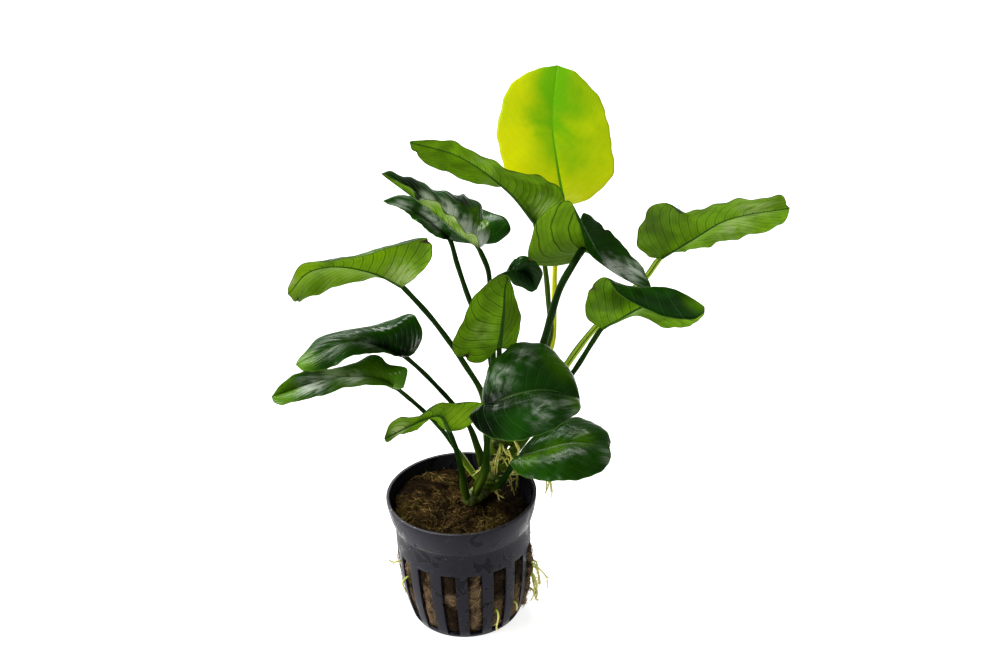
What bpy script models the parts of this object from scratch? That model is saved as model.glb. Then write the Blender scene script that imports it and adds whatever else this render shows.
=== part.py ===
"""Potted anubias: a small aquatic plant standing in a slotted black net pot.

All sizes below are millimetres. The origin is the middle of the pot's foot,
+Z is up, and -Y is the side that the lowest round leaves lean towards.
"""

import math

import bmesh
import bpy
import numpy as np
from mathutils import Matrix, Vector

MM = 0.001
NAME = "potted_anubias"
CLEARANCE = 0.3

# Pot
POT_HEIGHT = 51.0
RIM_RADIUS = 27.5
COLLAR_HEIGHT = 10.5
COLLAR_TAPER = 2.2
COLLAR_STEP = 0.4
BODY_TAPER = 4.5
WALL = 1.0
FLOOR = 1.2
SLOT_COUNT = 16
SLOT_ANGLE = 12.4
SLOT_TURN = 7.2
SLOT_BELOW_COLLAR = 9.5
SLOT_ABOVE_FOOT = 1.8
SLOT_OVERCUT = 4.0
DRAIN_COUNT = 6
DRAIN_RADIUS = 2.4
DRAIN_CIRCLE = 12.0
TURN_STEPS = 48
COLLAR_SAMPLES = 4
BODY_SAMPLES = 7

# Plug
PLUG_BELOW_RIM = 7.0
PLUG_EDGE = 1.5

# Rhizome: its middle line from the plug's top middle, and its thickness there
RHIZOME_LINE = [(1, 0, 2.2), (7, 5, 3.5), (12, 10, 10), (15, 13, 18), (17, 14, 26)]
RHIZOME_RADIUS = 3.2
RHIZOME_DRAW_IN = 0.35
RHIZOME_POINTS = 14

# Leaves and stalks
PLANT_SCALE = 1.0
BLADE_THICKNESS = 0.8
BLADE_ROWS = 12
BLADE_COLUMNS = 3
BLADE_CUP = 0.12
BLADE_PACE = 1.25
STALK_TOP_RADIUS = 1.0
STALK_FOOT_RADIUS = 1.7
STALK_POINTS = 11
STALK_PACE = 1.7
STALK_ROOTING = 1.5
STALK_SHORT = 2.2
ROOTING_GAP = 0.6

# Roots
ROOT_RADIUS = 0.45
ROOT_TAPER = 0.3
ROOT_POINTS = 7

# Each leaf, in millimetres from the middle of the plug's top: how far along the rhizome
# its stalk starts, the midrib from stalk to tip, the margins as seen with the tip up and
# the upper side in front, and the points that the stalk passes on its way up
LEAVES = {
    "leaf_01": {
        "grip": 0.8, "cup": 0.03,
        "rib": [(43, 40, 101), (41, 46, 115), (40, 53, 129), (43, 62, 147)],
        "left": [(36, 40, 103), (24, 44, 111), (20, 51, 127), (26, 58, 142), (35, 61, 146)],
        "right": [(52, 41, 103), (61, 44, 111), (61, 50, 122), (58, 56, 135), (50, 60, 144)],
        "stem": [(36, 26, 51), (38, 32, 69), (39, 36, 81)],
    },
    "leaf_02": {
        "grip": 0.98,
        "rib": [(31, 24, 102), (22, 22, 115), (6, 20, 129), (-11, 18, 136)],
        "left": [
            (37, 22, 106), (41, 20, 112), (37, 18, 119), (28, 16, 123), (19, 15, 127),
            (8, 15, 134), (-2, 16, 137),
        ],
        "right": [
            (36, 34, 101), (31, 40, 108), (21, 36, 112), (15, 30, 114), (4, 26, 120),
            (-5, 22, 126), (-10, 19, 132),
        ],
        "stem": [(35, 19, 58), (35, 22, 72), (34, 23, 86)],
    },
    "leaf_03": {
        "grip": 0.86, "pace": 2.0, "cup": 0.0, "short": 3.4,
        "rib": [(48, 20, 93), (53, 20, 88), (61, 18, 82), (71, 15, 77)],
        "left": [
            (47, 26, 97), (49, 30, 102), (56, 32, 96), (61, 30, 91), (68, 24, 84), (71, 17, 79),
        ],
        "right": [
            (42, 20, 87), (28, 13, 92), (31, 8, 109), (41, 8, 116), (45, 11, 107), (49, 16, 93),
            (61, 17, 82),
        ],
        "stem": [(32, 13, 59), (38, 10, 82), (43, 6, 94)],
    },
    "leaf_04": {
        "grip": 0.7,
        "rib": [(77, 34, 81), (88, 33, 88), (101, 32, 96), (123, 30, 100)],
        "left": [(82, 36, 82), (90, 40, 81), (103, 40, 84), (117, 36, 89), (122, 32, 94)],
        "right": [
            (72, 30, 84), (68, 27, 90), (70, 26, 102), (77, 25, 106), (83, 25, 103), (90, 26, 102),
            (95, 26, 105), (106, 27, 105), (119, 29, 105),
        ],
        "stem": [(41, 19, 47), (52, 24, 59), (72, 32, 75)],
    },
    "leaf_05": {
        "grip": 0.58,
        "rib": [(52, 4, 69), (59, 4, 73), (69, 2, 78), (87, -2, 78)],
        "left": [(56, 6, 69), (63, 8, 71), (68, 8, 70), (75, 8, 66), (83, 4, 68), (87, 0, 74)],
        "right": [
            (47, 2, 74), (46, 0, 81), (48, -2, 88), (53, -3, 92), (57, -6, 88), (68, -6, 82),
            (80, -8, 79), (86, -4, 79),
        ],
        "right_crest": [(50, 3, 74), (52, 0, 81), (57, 4, 84), (66, 6, 83), (76, 6, 82), (84, 2, 79)],
        "stem": [(42, 10, 48)],
    },
    "leaf_06": {
        "grip": 0.7,
        "rib": [(-16, 0, 91), (-25, -3, 98), (-37, -8, 102), (-53, -14, 96)],
        "left": [
            (-11, -6, 97), (-6, -12, 106), (-6, -14, 114), (-14, -14, 113), (-27, -14, 109),
            (-38, -15, 109), (-47, -16, 108), (-52, -16, 101),
        ],
        "right": [(-19, 4, 91), (-26, 6, 92), (-36, 4, 91), (-47, -4, 91), (-51, -10, 92)],
        "stem": [(10, 8, 41), (4, 6, 56), (-6, 2, 76)],
    },
    "leaf_07": {
        "grip": 0.87,
        "rib": [(11, 22, 94), (5, 20, 100), (-5, 18, 111), (-21, 16, 126)],
        "left": [
            (10, 18, 100), (5, 16, 105), (1, 14, 111), (-3, 14, 115), (-9, 14, 117),
            (-10, 14, 119), (-15, 14, 123), (-18, 15, 125),
        ],
        "right": [
            (14, 22, 97), (15, 24, 103), (13, 30, 102), (12, 36, 105), (7, 40, 108), (4, 38, 108),
            (-7, 30, 116), (-17, 22, 124),
        ],
        "stem": [(12, 13, 38), (14, 14, 52), (14, 21, 84)],
    },
    "leaf_08": {
        "grip": 0.98,
        "rib": [(1, 48, 87), (-6, 50, 93), (-14, 51, 99), (-23, 52, 102)],
        "left": [(-2, 44, 89), (-8, 45, 93), (-15, 48, 99), (-20, 50, 101)],
        "right": [
            (8, 44, 87), (18, 40, 88), (23, 40, 93), (20, 46, 96), (9, 54, 98), (-6, 56, 101),
            (-17, 54, 103),
        ],
        "stem": [(13, 26, 53), (7, 36, 67), (3, 44, 79)],
    },
    "leaf_09": {
        "grip": 0.95,
        "rib": [(16, 3, 64), (18, 5, 77), (20, 8, 88), (26, 10, 90), (30, 7, 84)],
        "left": [
            (21, 5, 63), (24, 7, 71), (23, 10, 79), (21, 12, 85), (21, 12, 90), (24, 10, 95),
            (28, 8, 96), (32, 7, 90),
        ],
        "right": [
            (9, 4, 58), (1, 3, 62), (0, 2, 69), (4, 2, 76), (8, 3, 84), (14, 4, 90), (19, 5, 91),
            (22, 6, 87), (25, 7, 85), (28, 7, 83),
        ],
        "stem": [(17, 9, 40), (16, 7, 56)],
    },
    "leaf_10": {
        "grip": 0.45,
        "rib": [(-17, -8, 69), (-23, -10, 72), (-34, -14, 78), (-52, -22, 75)],
        "left": [(-19, -14, 72), (-26, -20, 77), (-33, -24, 78), (-42, -26, 75), (-49, -25, 74)],
        "right": [
            (-13, -14, 73), (-10, -12, 77), (-12, -6, 82), (-15, -2, 82), (-24, 2, 76),
            (-33, 0, 76), (-43, -6, 77), (-51, -16, 75),
        ],
        "stem": [(8, 7, 18), (3, 2, 36), (-8, -4, 56)],
    },
    "leaf_11": {
        "grip": 0.33,
        "rib": [(-20, -16, 61), (-28, -18, 66), (-41, -22, 69), (-60, -30, 68)],
        "left": [
            (-23, -22, 65), (-30, -27, 69), (-38, -30, 69), (-47, -34, 69), (-56, -34, 67),
            (-59, -32, 67),
        ],
        "right": [
            (-17, -20, 64), (-16, -18, 69), (-21, -14, 69), (-26, -10, 70), (-32, -10, 69),
            (-39, -14, 69), (-52, -24, 73), (-57, -28, 71),
        ],
        "stem": [(4, 5, 13), (-5, -2, 34), (-11, -8, 46)],
    },
    "leaf_12": {
        "grip": 0.03,
        "rib": [(-3, -10, 39), (-6, -12, 47), (-13, -17, 48), (-25, -24, 46)],
        "left": [
            (3, -8, 39), (9, -10, 49), (1, -12, 51), (-6, -14, 53), (-10, -16, 51), (-13, -18, 50),
            (-19, -20, 52), (-23, -22, 50),
        ],
        "right": [
            (-5, -8, 39), (-9, -11, 45), (-12, -14, 45), (-15, -17, 44), (-20, -20, 45),
            (-24, -23, 44),
        ],
        "stem": [(1, -1, 14), (-1, -6, 29)],
    },
    "leaf_13": {
        "grip": 0.14,
        "rib": [(11, -22, 55), (20, -22, 59), (30, -20, 59), (42, -18, 54)],
        "left": [
            (9, -18, 55), (10, -10, 59), (15, -4, 64), (23, 1, 67), (33, -1, 65), (40, -7, 59),
        ],
        "right": [
            (4, -28, 55), (7, -32, 52), (14, -36, 50), (24, -37, 51), (33, -34, 53), (41, -26, 54),
        ],
        "stem": [(9, -4, 18), (10, -12, 36)],
    },
    "leaf_14": {
        "grip": 0.33,
        "rib": [(21, -4, 23), (31, -6, 27), (41, -8, 30), (53, -12, 30)],
        "left": [(24, 2, 24), (32, 6, 28), (41, 8, 31), (49, 4, 31), (53, -4, 30)],
        "right": [
            (18, -8, 23), (21, -14, 22), (28, -20, 23), (36, -24, 25), (45, -24, 26),
            (52, -18, 27),
        ],
        "stem": [(14, -1, 10), (17, -3, 16)],
    },
}

# Aerial roots that leave the rhizome: how far along it, then the points they pass
HANGING_ROOTS = {
    "root_01": {"grip": 0.5, "points": [(13, 3, 16), (10, 0, 19), (5, 0, 14)]},
    "root_02": {"grip": 0.82, "points": [(15, 6, 21), (14, 5, 16), (13, 4, 11)]},
    "root_03": {"grip": 0.64, "points": [(16, 6, 17), (17, 5, 15), (18, 4, 12)]},
    "root_04": {"grip": 0.76, "points": [(18, 5, 20), (19, 2, 17), (19, 1, 12)]},
    "root_05": {"grip": 0.9, "points": [(19, 6, 27), (21, 2, 24), (22, 1, 19)]},
    "root_06": {"grip": 0.42, "points": [(18, 8, 8), (19, 7, 1)]},
    "root_07": {"grip": 0.56, "points": [(21, 11, 9), (21, 10, 1)]},
    "root_08": {"grip": 0.38, "points": [(13, 4, 4), (14, 2, 1)]},
}

# Roots that hang over the rim: bearing, then distance past the rim and height above it
RIM_ROOTS = {
    "root_09": {"grip": 0.4, "bearing": 12, "points": [(-5, 5), (1, 4), (5, -2), (5, -8)]},
    "root_10": {"grip": 0.52, "bearing": 19, "points": [(-6, 4), (3, 4), (8, -4), (9, -12)]},
}

# Roots that leave through a slot: slot, bearing from its middle, start height,
# then distance past the wall and height above the foot
SLOT_ROOTS = {
    "root_11": {"slot": 15, "bearing": 2, "height": 22, "points": [(2, 21), (4, 17), (5, 11)]},
    "root_12": {"slot": 15, "bearing": -2, "height": 17, "points": [(2, 17), (4, 12), (4, 7)]},
    "root_13": {"slot": 15, "bearing": 1, "height": 11, "points": [(2, 10), (4, 7), (6, 4)]},
    "root_14": {"slot": 13, "bearing": -3, "height": 13, "points": [(1.2, 12), (1.2, 7), (1.4, 2)]},
    "root_15": {"slot": 14, "bearing": -4, "height": 12, "points": [(1.2, 11), (1.3, 8)]},
    "root_16": {"slot": 8, "bearing": 3, "height": 25, "points": [(2, 25), (4, 26)]},
    "root_17": {"slot": 9, "bearing": -3, "height": 23, "points": [(1.5, 21), (1.5, 15)]},
}


def clear_scene():
    """Start from an empty scene."""
    for thing in list(bpy.data.objects):
        bpy.data.objects.remove(thing, do_unlink=True)


def new_collection(name):
    group = bpy.data.collections.new(name)
    bpy.context.scene.collection.children.link(group)
    return group


def new_material(name, color, roughness):
    material = bpy.data.materials.new(name)
    material.use_nodes = True
    shader = material.node_tree.nodes["Principled BSDF"]
    shader.inputs["Base Color"].default_value = (*color, 1.0)
    shader.inputs["Roughness"].default_value = roughness
    shader.inputs["Metallic"].default_value = 0.0
    return material


def add_object(name, data, group, material):
    thing = bpy.data.objects.new(name, data)
    group.objects.link(thing)
    data.materials.append(material)
    return thing


def mesh_from(name, sculpt):
    """A mesh that holds what the function sculpt draws into an empty bmesh."""
    mesh = bpy.data.meshes.new(name)
    draft = bmesh.new()
    sculpt(draft)
    draft.to_mesh(mesh)
    draft.free()
    return mesh


def unit(vector):
    return vector / np.linalg.norm(vector)


def along(points, share):
    """The place a share of the way along a smooth line through the points."""
    places = [np.array(point, float) for point in points]
    steps = [np.linalg.norm(b - a) for a, b in zip(places, places[1:])]
    keys = np.concatenate([[0.0], np.cumsum(steps)]) / sum(steps)
    last = len(places) - 1
    index = int(np.clip(np.searchsorted(keys, share, side="right") - 1, 0, last - 1))
    span = keys[index + 1] - keys[index]

    def slope(i):
        before, after = max(i - 1, 0), min(i + 1, last)
        return (places[after] - places[before]) / (keys[after] - keys[before])

    u = (share - keys[index]) / span
    start, end = places[index], places[index + 1]
    lead, trail = slope(index) * span, slope(index + 1) * span
    return (
        (2 * u**3 - 3 * u**2 + 1) * start
        + (u**3 - 2 * u**2 + u) * lead
        + (3 * u**2 - 2 * u**3) * end
        + (u**3 - u**2) * trail
    )


def direction_along(points, share):
    ahead = along(points, min(share + 0.02, 1.0))
    behind = along(points, max(share - 0.02, 0.0))
    return unit(ahead - behind)


def add_tube(name, points, radii, group, material, bevel_resolution=2):
    """A round tube with flat ends through points, with a radius at each one."""
    curve = bpy.data.curves.new(name, "CURVE")
    curve.dimensions = "3D"
    curve.bevel_depth = MM
    curve.bevel_resolution = bevel_resolution
    curve.use_fill_caps = True
    spline = curve.splines.new("POLY")
    spline.points.add(len(points) - 1)
    for knot, point, radius in zip(spline.points, points, radii):
        knot.co = (*(np.array(point) * MM), 1.0)
        knot.radius = radius
    return add_object(name, curve, group, material)


# Pot

def plug_top():
    return POT_HEIGHT - PLUG_BELOW_RIM


def collar_foot():
    return POT_HEIGHT - COLLAR_HEIGHT


def slot_top():
    return collar_foot() - SLOT_BELOW_COLLAR


def body_radius(height):
    """Outer radius of the slotted wall, which draws in towards the foot."""
    top = RIM_RADIUS - COLLAR_TAPER - COLLAR_STEP
    drop = 1.0 - height / collar_foot()
    return top - BODY_TAPER * drop**3


def collar_radius(height):
    rise = (height - collar_foot()) / COLLAR_HEIGHT
    return RIM_RADIUS - COLLAR_TAPER * (1.0 - rise) ** 1.6


def outer_section():
    """The outside of the wall as (radius, height), from the rim down to the foot."""
    collar = [(collar_radius(h), h) for h in np.linspace(POT_HEIGHT, collar_foot(), COLLAR_SAMPLES)]
    body = [(body_radius(h), h) for h in np.linspace(collar_foot(), 0.0, BODY_SAMPLES)]
    return collar + body


def inner_section():
    """The inside of the wall as (radius, height), from the floor up to the rim."""
    body_heights = np.linspace(collar_foot(), 0.0, BODY_SAMPLES)[-2::-1]
    collar_heights = np.linspace(collar_foot(), POT_HEIGHT, COLLAR_SAMPLES)[1:]
    body = [(body_radius(h) - WALL, h) for h in (FLOOR, *body_heights)]
    collar = [(collar_radius(h) - COLLAR_STEP - WALL, h) for h in collar_heights]
    return body + collar


def inner_radius(height):
    radii, heights = zip(*inner_section())
    return float(np.interp(height, heights, radii))


def add_turned(name, profile, group, material):
    """A solid turned about Z from a profile of (radius, height) points."""

    def sculpt(draft):
        corners = [draft.verts.new((r * MM, 0.0, z * MM)) for r, z in profile]
        for start, end in zip(corners, corners[1:]):
            draft.edges.new((start, end))

    thing = add_object(name, mesh_from(name, sculpt), group, material)
    screw = thing.modifiers.new("turn", "SCREW")
    screw.steps = TURN_STEPS
    screw.render_steps = TURN_STEPS
    screw.use_merge_vertices = True
    screw.merge_threshold = 0.00001
    screw.use_normal_calculate = True
    return thing


def add_slot_cutter(group, material):
    """Sixteen radial wedges, one for each slot."""
    reach = (inner_radius(SLOT_ABOVE_FOOT) - SLOT_OVERCUT, RIM_RADIUS + SLOT_OVERCUT)
    spread = math.tan(math.radians(SLOT_ANGLE / 2))

    def sculpt(draft):
        for index in range(SLOT_COUNT):
            made = bmesh.ops.create_cube(draft, size=1.0)["verts"]
            for vert in made:
                radius = reach[vert.co.x > 0]
                height = slot_top() if vert.co.z > 0 else SLOT_ABOVE_FOOT
                side = radius * spread * (1 if vert.co.y > 0 else -1)
                vert.co = Vector((radius, side, height)) * MM
            turn = Matrix.Rotation(math.radians(slot_bearing(index)), 4, "Z")
            bmesh.ops.transform(draft, matrix=turn, verts=made)

    return add_object("slot_cutter", mesh_from("slot_cutter", sculpt), group, material)


def slot_bearing(index):
    return SLOT_TURN + index * 360.0 / SLOT_COUNT


def add_drain_cutter(group, material):
    """A ring of round holes through the floor."""

    def sculpt(draft):
        for index in range(DRAIN_COUNT):
            angle = 2 * math.pi * index / DRAIN_COUNT
            spot = Vector((math.cos(angle), math.sin(angle), 0.0)) * DRAIN_CIRCLE * MM
            bmesh.ops.create_cone(
                draft,
                cap_ends=True,
                segments=12,
                radius1=DRAIN_RADIUS * MM,
                radius2=DRAIN_RADIUS * MM,
                depth=4 * FLOOR * MM,
                matrix=Matrix.Translation(spot),
            )

    return add_object("drain_cutter", mesh_from("drain_cutter", sculpt), group, material)


def cut(thing, cutter):
    cutter.hide_render = True
    cutter.display_type = "WIRE"
    knife = thing.modifiers.new(cutter.name, "BOOLEAN")
    knife.operation = "DIFFERENCE"
    knife.solver = "EXACT"
    knife.object = cutter


def add_pot(group, cutters, material):
    profile = [(0.0, FLOOR)] + inner_section() + outer_section() + [(0.0, 0.0)]
    pot = add_turned("pot", profile, group, material)
    cut(pot, add_slot_cutter(cutters, material))
    cut(pot, add_drain_cutter(cutters, material))
    return pot


# Plug and rhizome

def plug_profile():
    """The plug's section: it fills the wall's inside, a clearance smaller all round."""
    foot = FLOOR + CLEARANCE
    shoulder = plug_top() - PLUG_EDGE
    wall = [h for _, h in inner_section() if foot < h < shoulder]
    side = [(inner_radius(h) - CLEARANCE, h) for h in (foot, *wall, shoulder)]
    crown = [(side[-1][0] - PLUG_EDGE, plug_top()), (0.0, plug_top())]
    return ([(0.0, foot)] + side + crown)[::-1]


def rhizome_points():
    shares = np.linspace(0.0, 1.0, RHIZOME_POINTS)
    return [from_crown(along(RHIZOME_LINE, share)) for share in shares]


def rhizome_radius(share):
    """Full in the middle, drawn in at both ends."""
    return RHIZOME_RADIUS * (1.0 - RHIZOME_DRAW_IN * abs(2 * share - 1.0) ** 4)


def from_crown(point):
    """A place given from the middle of the plug's top."""
    return np.array(point, float) + (0.0, 0.0, plug_top())


def add_rhizome(group, material):
    radii = [rhizome_radius(share) for share in np.linspace(0.0, 1.0, RHIZOME_POINTS)]
    return add_tube("rhizome", rhizome_points(), radii, group, material)


def add_plug(group, cutters, material):
    """The growing plug, with a bed for the rhizome sunk in its top."""
    plug = add_turned("plug", plug_profile(), group, material)
    shares = np.linspace(0.0, 1.0, RHIZOME_POINTS)
    radii = [rhizome_radius(share) + CLEARANCE for share in shares]
    points = rhizome_points()
    points[0] = points[0] - CLEARANCE * unit(points[1] - points[0])
    draft = add_tube("bed_draft", points, radii, cutters, material)
    bpy.context.view_layer.update()
    seen = draft.evaluated_get(bpy.context.evaluated_depsgraph_get())
    mesh = bpy.data.meshes.new_from_object(seen)
    bpy.data.objects.remove(draft, do_unlink=True)

    whole = bmesh.new()
    whole.from_mesh(mesh)
    bmesh.ops.remove_doubles(whole, verts=whole.verts, dist=0.001 * MM)
    whole.to_mesh(mesh)
    whole.free()
    bed = bpy.data.objects.new("rhizome_bed", mesh)
    cutters.objects.link(bed)
    cut(plug, bed)
    return plug


# Leaves

def scaled(points):
    return [np.array(point, float) * PLANT_SCALE for point in points]


def blade_place(leaf, share, side):
    """A point of a blade: share along it, side from -1 at the left margin to 1 at the right."""
    rib_line = scaled(leaf["rib"])
    key = "right" if side > 0 else "left"
    margin_line = [rib_line[0]] + scaled(leaf[key]) + [rib_line[-1]]
    paced = share ** leaf.get("pace", BLADE_PACE)
    rib = along(rib_line, paced)
    margin = along(margin_line, share)
    reach = abs(side)
    crest_key = key + "_crest"
    if crest_key in leaf:
        crest = along([rib_line[0]] + scaled(leaf[crest_key]) + [rib_line[-1]], share)
    else:
        out = margin - rib
        heading = direction_along(rib_line, paced)
        up = np.cross(out * (1 if side > 0 else -1), heading)
        up = up / max(np.linalg.norm(up), 1e-6)
        crest = rib + out / 2 + up * leaf.get("cup", BLADE_CUP) * np.linalg.norm(out)
    handle = 2 * crest - (rib + margin) / 2
    return (1 - reach) ** 2 * rib + 2 * reach * (1 - reach) * handle + reach**2 * margin


def add_blade(name, leaf, group, material):
    """A leaf blade: a grid laid over its midrib and two margins, thickened both ways."""

    def sculpt(draft):
        bmesh.ops.create_grid(
            draft, x_segments=2 * BLADE_COLUMNS, y_segments=BLADE_ROWS, size=1.0
        )
        for vert in draft.verts:
            share = (vert.co.y + 1.0) / 2.0
            vert.co = Vector(from_crown(blade_place(leaf, share, vert.co.x)) * MM)
        bmesh.ops.remove_doubles(draft, verts=draft.verts, dist=0.01 * MM)

    thing = add_object(name, mesh_from(name, sculpt), group, material)
    skin = thing.modifiers.new("thickness", "SOLIDIFY")
    skin.thickness = BLADE_THICKNESS * MM
    skin.offset = 0.0
    return thing


def rooted_start(grip, target):
    """Where a stalk or root leaves the rhizome towards a target, and its direction there."""
    middle = along(RHIZOME_LINE, grip)
    line = direction_along(RHIZOME_LINE, grip)
    aim = np.array(target, float) - middle
    outward = unit(aim - line * np.dot(aim, line))
    return middle + outward * (rhizome_radius(grip) + ROOTING_GAP), outward


def add_stalk(name, leaf, group, material):
    """A leaf stalk from the rhizome to just short of its blade."""
    via = scaled(leaf["stem"])
    base = scaled(leaf["rib"])[0]
    start, outward = rooted_start(leaf["grip"], via[0])
    end = base - unit(base - via[-1]) * leaf.get("short", STALK_SHORT)
    route = [start, start + outward * STALK_ROOTING] + via + [end]
    shares = np.linspace(0.0, 1.0, STALK_POINTS) ** STALK_PACE
    points = [from_crown(along(route, share)) for share in shares]
    swell = STALK_FOOT_RADIUS - STALK_TOP_RADIUS
    radii = [STALK_TOP_RADIUS + swell * (1.0 - share) ** 3 for share in shares]
    return add_tube(name, points, radii, group, material)


# Roots

def add_root(name, route, group, material):
    shares = np.linspace(0.0, 1.0, ROOT_POINTS)
    points = [along(route, share) for share in shares]
    radii = [ROOT_RADIUS * (1.0 - ROOT_TAPER * share) for share in shares]
    return add_tube(name, points, radii, group, material, bevel_resolution=1)


def around(bearing, radius, height):
    angle = math.radians(bearing)
    return np.array((radius * math.cos(angle), radius * math.sin(angle), height))


def add_roots(group, material):
    for name, root in HANGING_ROOTS.items():
        start, outward = rooted_start(root["grip"], root["points"][0])
        route = [start, start + outward] + [np.array(point, float) for point in root["points"]]
        add_root(name, [from_crown(point) for point in route], group, material)
    for name, root in RIM_ROOTS.items():
        over = [
            around(root["bearing"], RIM_RADIUS + past, POT_HEIGHT + rise)
            for past, rise in root["points"]
        ]
        start, outward = rooted_start(root["grip"], over[0] - from_crown((0, 0, 0)))
        add_root(name, [from_crown(start), from_crown(start + outward)] + over, group, material)
    for name, root in SLOT_ROOTS.items():
        bearing = slot_bearing(root["slot"]) + root["bearing"]
        height = root["height"]
        route = [around(bearing, inner_radius(height) + CLEARANCE, height)]
        for past, rise in root["points"]:
            route.append(around(bearing, body_radius(rise) + past, rise))
        add_root(name, route, group, material)


def main():
    clear_scene()
    group = new_collection(NAME)
    cutters = new_collection(NAME + "_cutters")
    pot_black = new_material("pot_black", (0.035, 0.037, 0.042), 0.45)
    plug_brown = new_material("plug_brown", (0.13, 0.085, 0.035), 0.95)
    rhizome_green = new_material("rhizome_green", (0.10, 0.14, 0.03), 0.6)
    stalk_green = new_material("stalk_green", (0.10, 0.20, 0.02), 0.5)
    leaf_green = new_material("leaf_green", (0.04, 0.16, 0.01), 0.35)
    leaf_yellow = new_material("leaf_yellow", (0.50, 0.58, 0.01), 0.4)
    root_cream = new_material("root_cream", (0.60, 0.58, 0.20), 0.6)

    add_pot(group, cutters, pot_black)
    add_plug(group, cutters, plug_brown)
    add_rhizome(group, rhizome_green)
    for name, leaf in LEAVES.items():
        blade_material = leaf_yellow if name == "leaf_01" else leaf_green
        add_blade(name, leaf, group, blade_material)
        add_stalk(name.replace("leaf", "stem"), leaf, group, stalk_green)
    add_roots(group, root_cream)


main()
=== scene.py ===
"""Potted anubias: the finished look of a small broad-leaved water plant in a slotted net pot.

Every piece is built in millimetres around the packed solids and written in metres. Leaf blades
are laid over a midrib and two margins, stalks and roots follow paths, and the plug grows fibres.
"""

import math

import bmesh
import bpy
import numpy as np
from bpy.props import FloatProperty, FloatVectorProperty, IntProperty, PointerProperty
from mathutils import Matrix, Vector, noise


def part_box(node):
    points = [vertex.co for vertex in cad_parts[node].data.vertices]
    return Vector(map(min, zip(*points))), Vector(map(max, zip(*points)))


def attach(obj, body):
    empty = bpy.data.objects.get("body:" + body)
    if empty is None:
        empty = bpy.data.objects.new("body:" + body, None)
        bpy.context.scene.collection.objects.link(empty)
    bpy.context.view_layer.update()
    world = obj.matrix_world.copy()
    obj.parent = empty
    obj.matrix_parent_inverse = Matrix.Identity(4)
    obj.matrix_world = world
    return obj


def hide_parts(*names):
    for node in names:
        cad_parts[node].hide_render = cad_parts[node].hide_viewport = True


bl_info = {
    "name": "Potted anubias",
    "version": (1, 0, 0),
    "blender": (4, 5, 0),
    "location": "View3D > Sidebar > Anubias",
    "description": "Builds a potted anubias from its midribs, margins, stalks, roots and net pot",
    "category": "Add Mesh",
}

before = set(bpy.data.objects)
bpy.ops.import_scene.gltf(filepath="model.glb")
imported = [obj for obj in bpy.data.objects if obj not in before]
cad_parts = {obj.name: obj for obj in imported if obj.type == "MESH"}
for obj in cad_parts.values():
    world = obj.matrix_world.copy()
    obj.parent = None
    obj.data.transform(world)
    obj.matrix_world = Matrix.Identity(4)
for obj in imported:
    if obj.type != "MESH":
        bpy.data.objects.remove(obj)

MM = 0.001
BODY = "root"
TURN = 2 * math.pi

# Sizes shared with the solids, in millimetres
RIM_RADIUS = 27.5
COLLAR_HEIGHT = 10.5
COLLAR_TAPER = 2.2
COLLAR_STEP = 0.4
BODY_TAPER = 4.5
WALL = 1.0
FLOOR = 1.2
SLOT_COUNT = 16
SLOT_ANGLE = 12.4
SLOT_TURN = 7.2
SLOT_BELOW_COLLAR = 9.5
SLOT_ABOVE_FOOT = 1.8
DRAIN_COUNT = 6
DRAIN_RADIUS = 2.4
DRAIN_CIRCLE = 12.0
RHIZOME_LINE = [(1, 0, 2.2), (7, 5, 3.5), (12, 10, 10), (15, 13, 18), (17, 14, 26)]
RHIZOME_RADIUS = 3.2
BLADE_CUP = 0.12
BLADE_PACE = 1.25

# Heights in millimetres, read from the packed solids
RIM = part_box("pot")[1].z / MM
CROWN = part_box("plug")[1].z / MM
COLLAR_FOOT = RIM - COLLAR_HEIGHT
SLOT_TOP = COLLAR_FOOT - SLOT_BELOW_COLLAR

# Sizes of the finish alone, in millimetres
SHEATH_REACH = 0.38  # share of the stalk that its sheath clasps
SHEATH_RISE = 0.8
ROOT_LOWEST = 0.9
TWIG_SPACING = 4.5
TWIG_POINTS = 12
RHIZOME_BARK = 0.35
LIP_DEPTH = 0.3  # how far inside the outer face the lip's finish starts
HEAP_SIDE = (-0.80, 0.60, 0.0)
HEAP_RISE = 4.6
PLUG_COLUMNS = 288
PLUG_FOOT = FLOOR + 0.35
SLOT_BULGES = {15: 1.9, 0: 0.8, 14: 0.7, 8: 0.6}  # by slot; the others bulge SLOT_BULGE
SLOT_BULGE = 0.15

# Strands grown beside a root, where that is not one
COMPANIONS = {"root_11": 3, "root_12": 4}
COMPANIONS.update({f"root_{number}": 0 for number in range(13, 18)})

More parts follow.
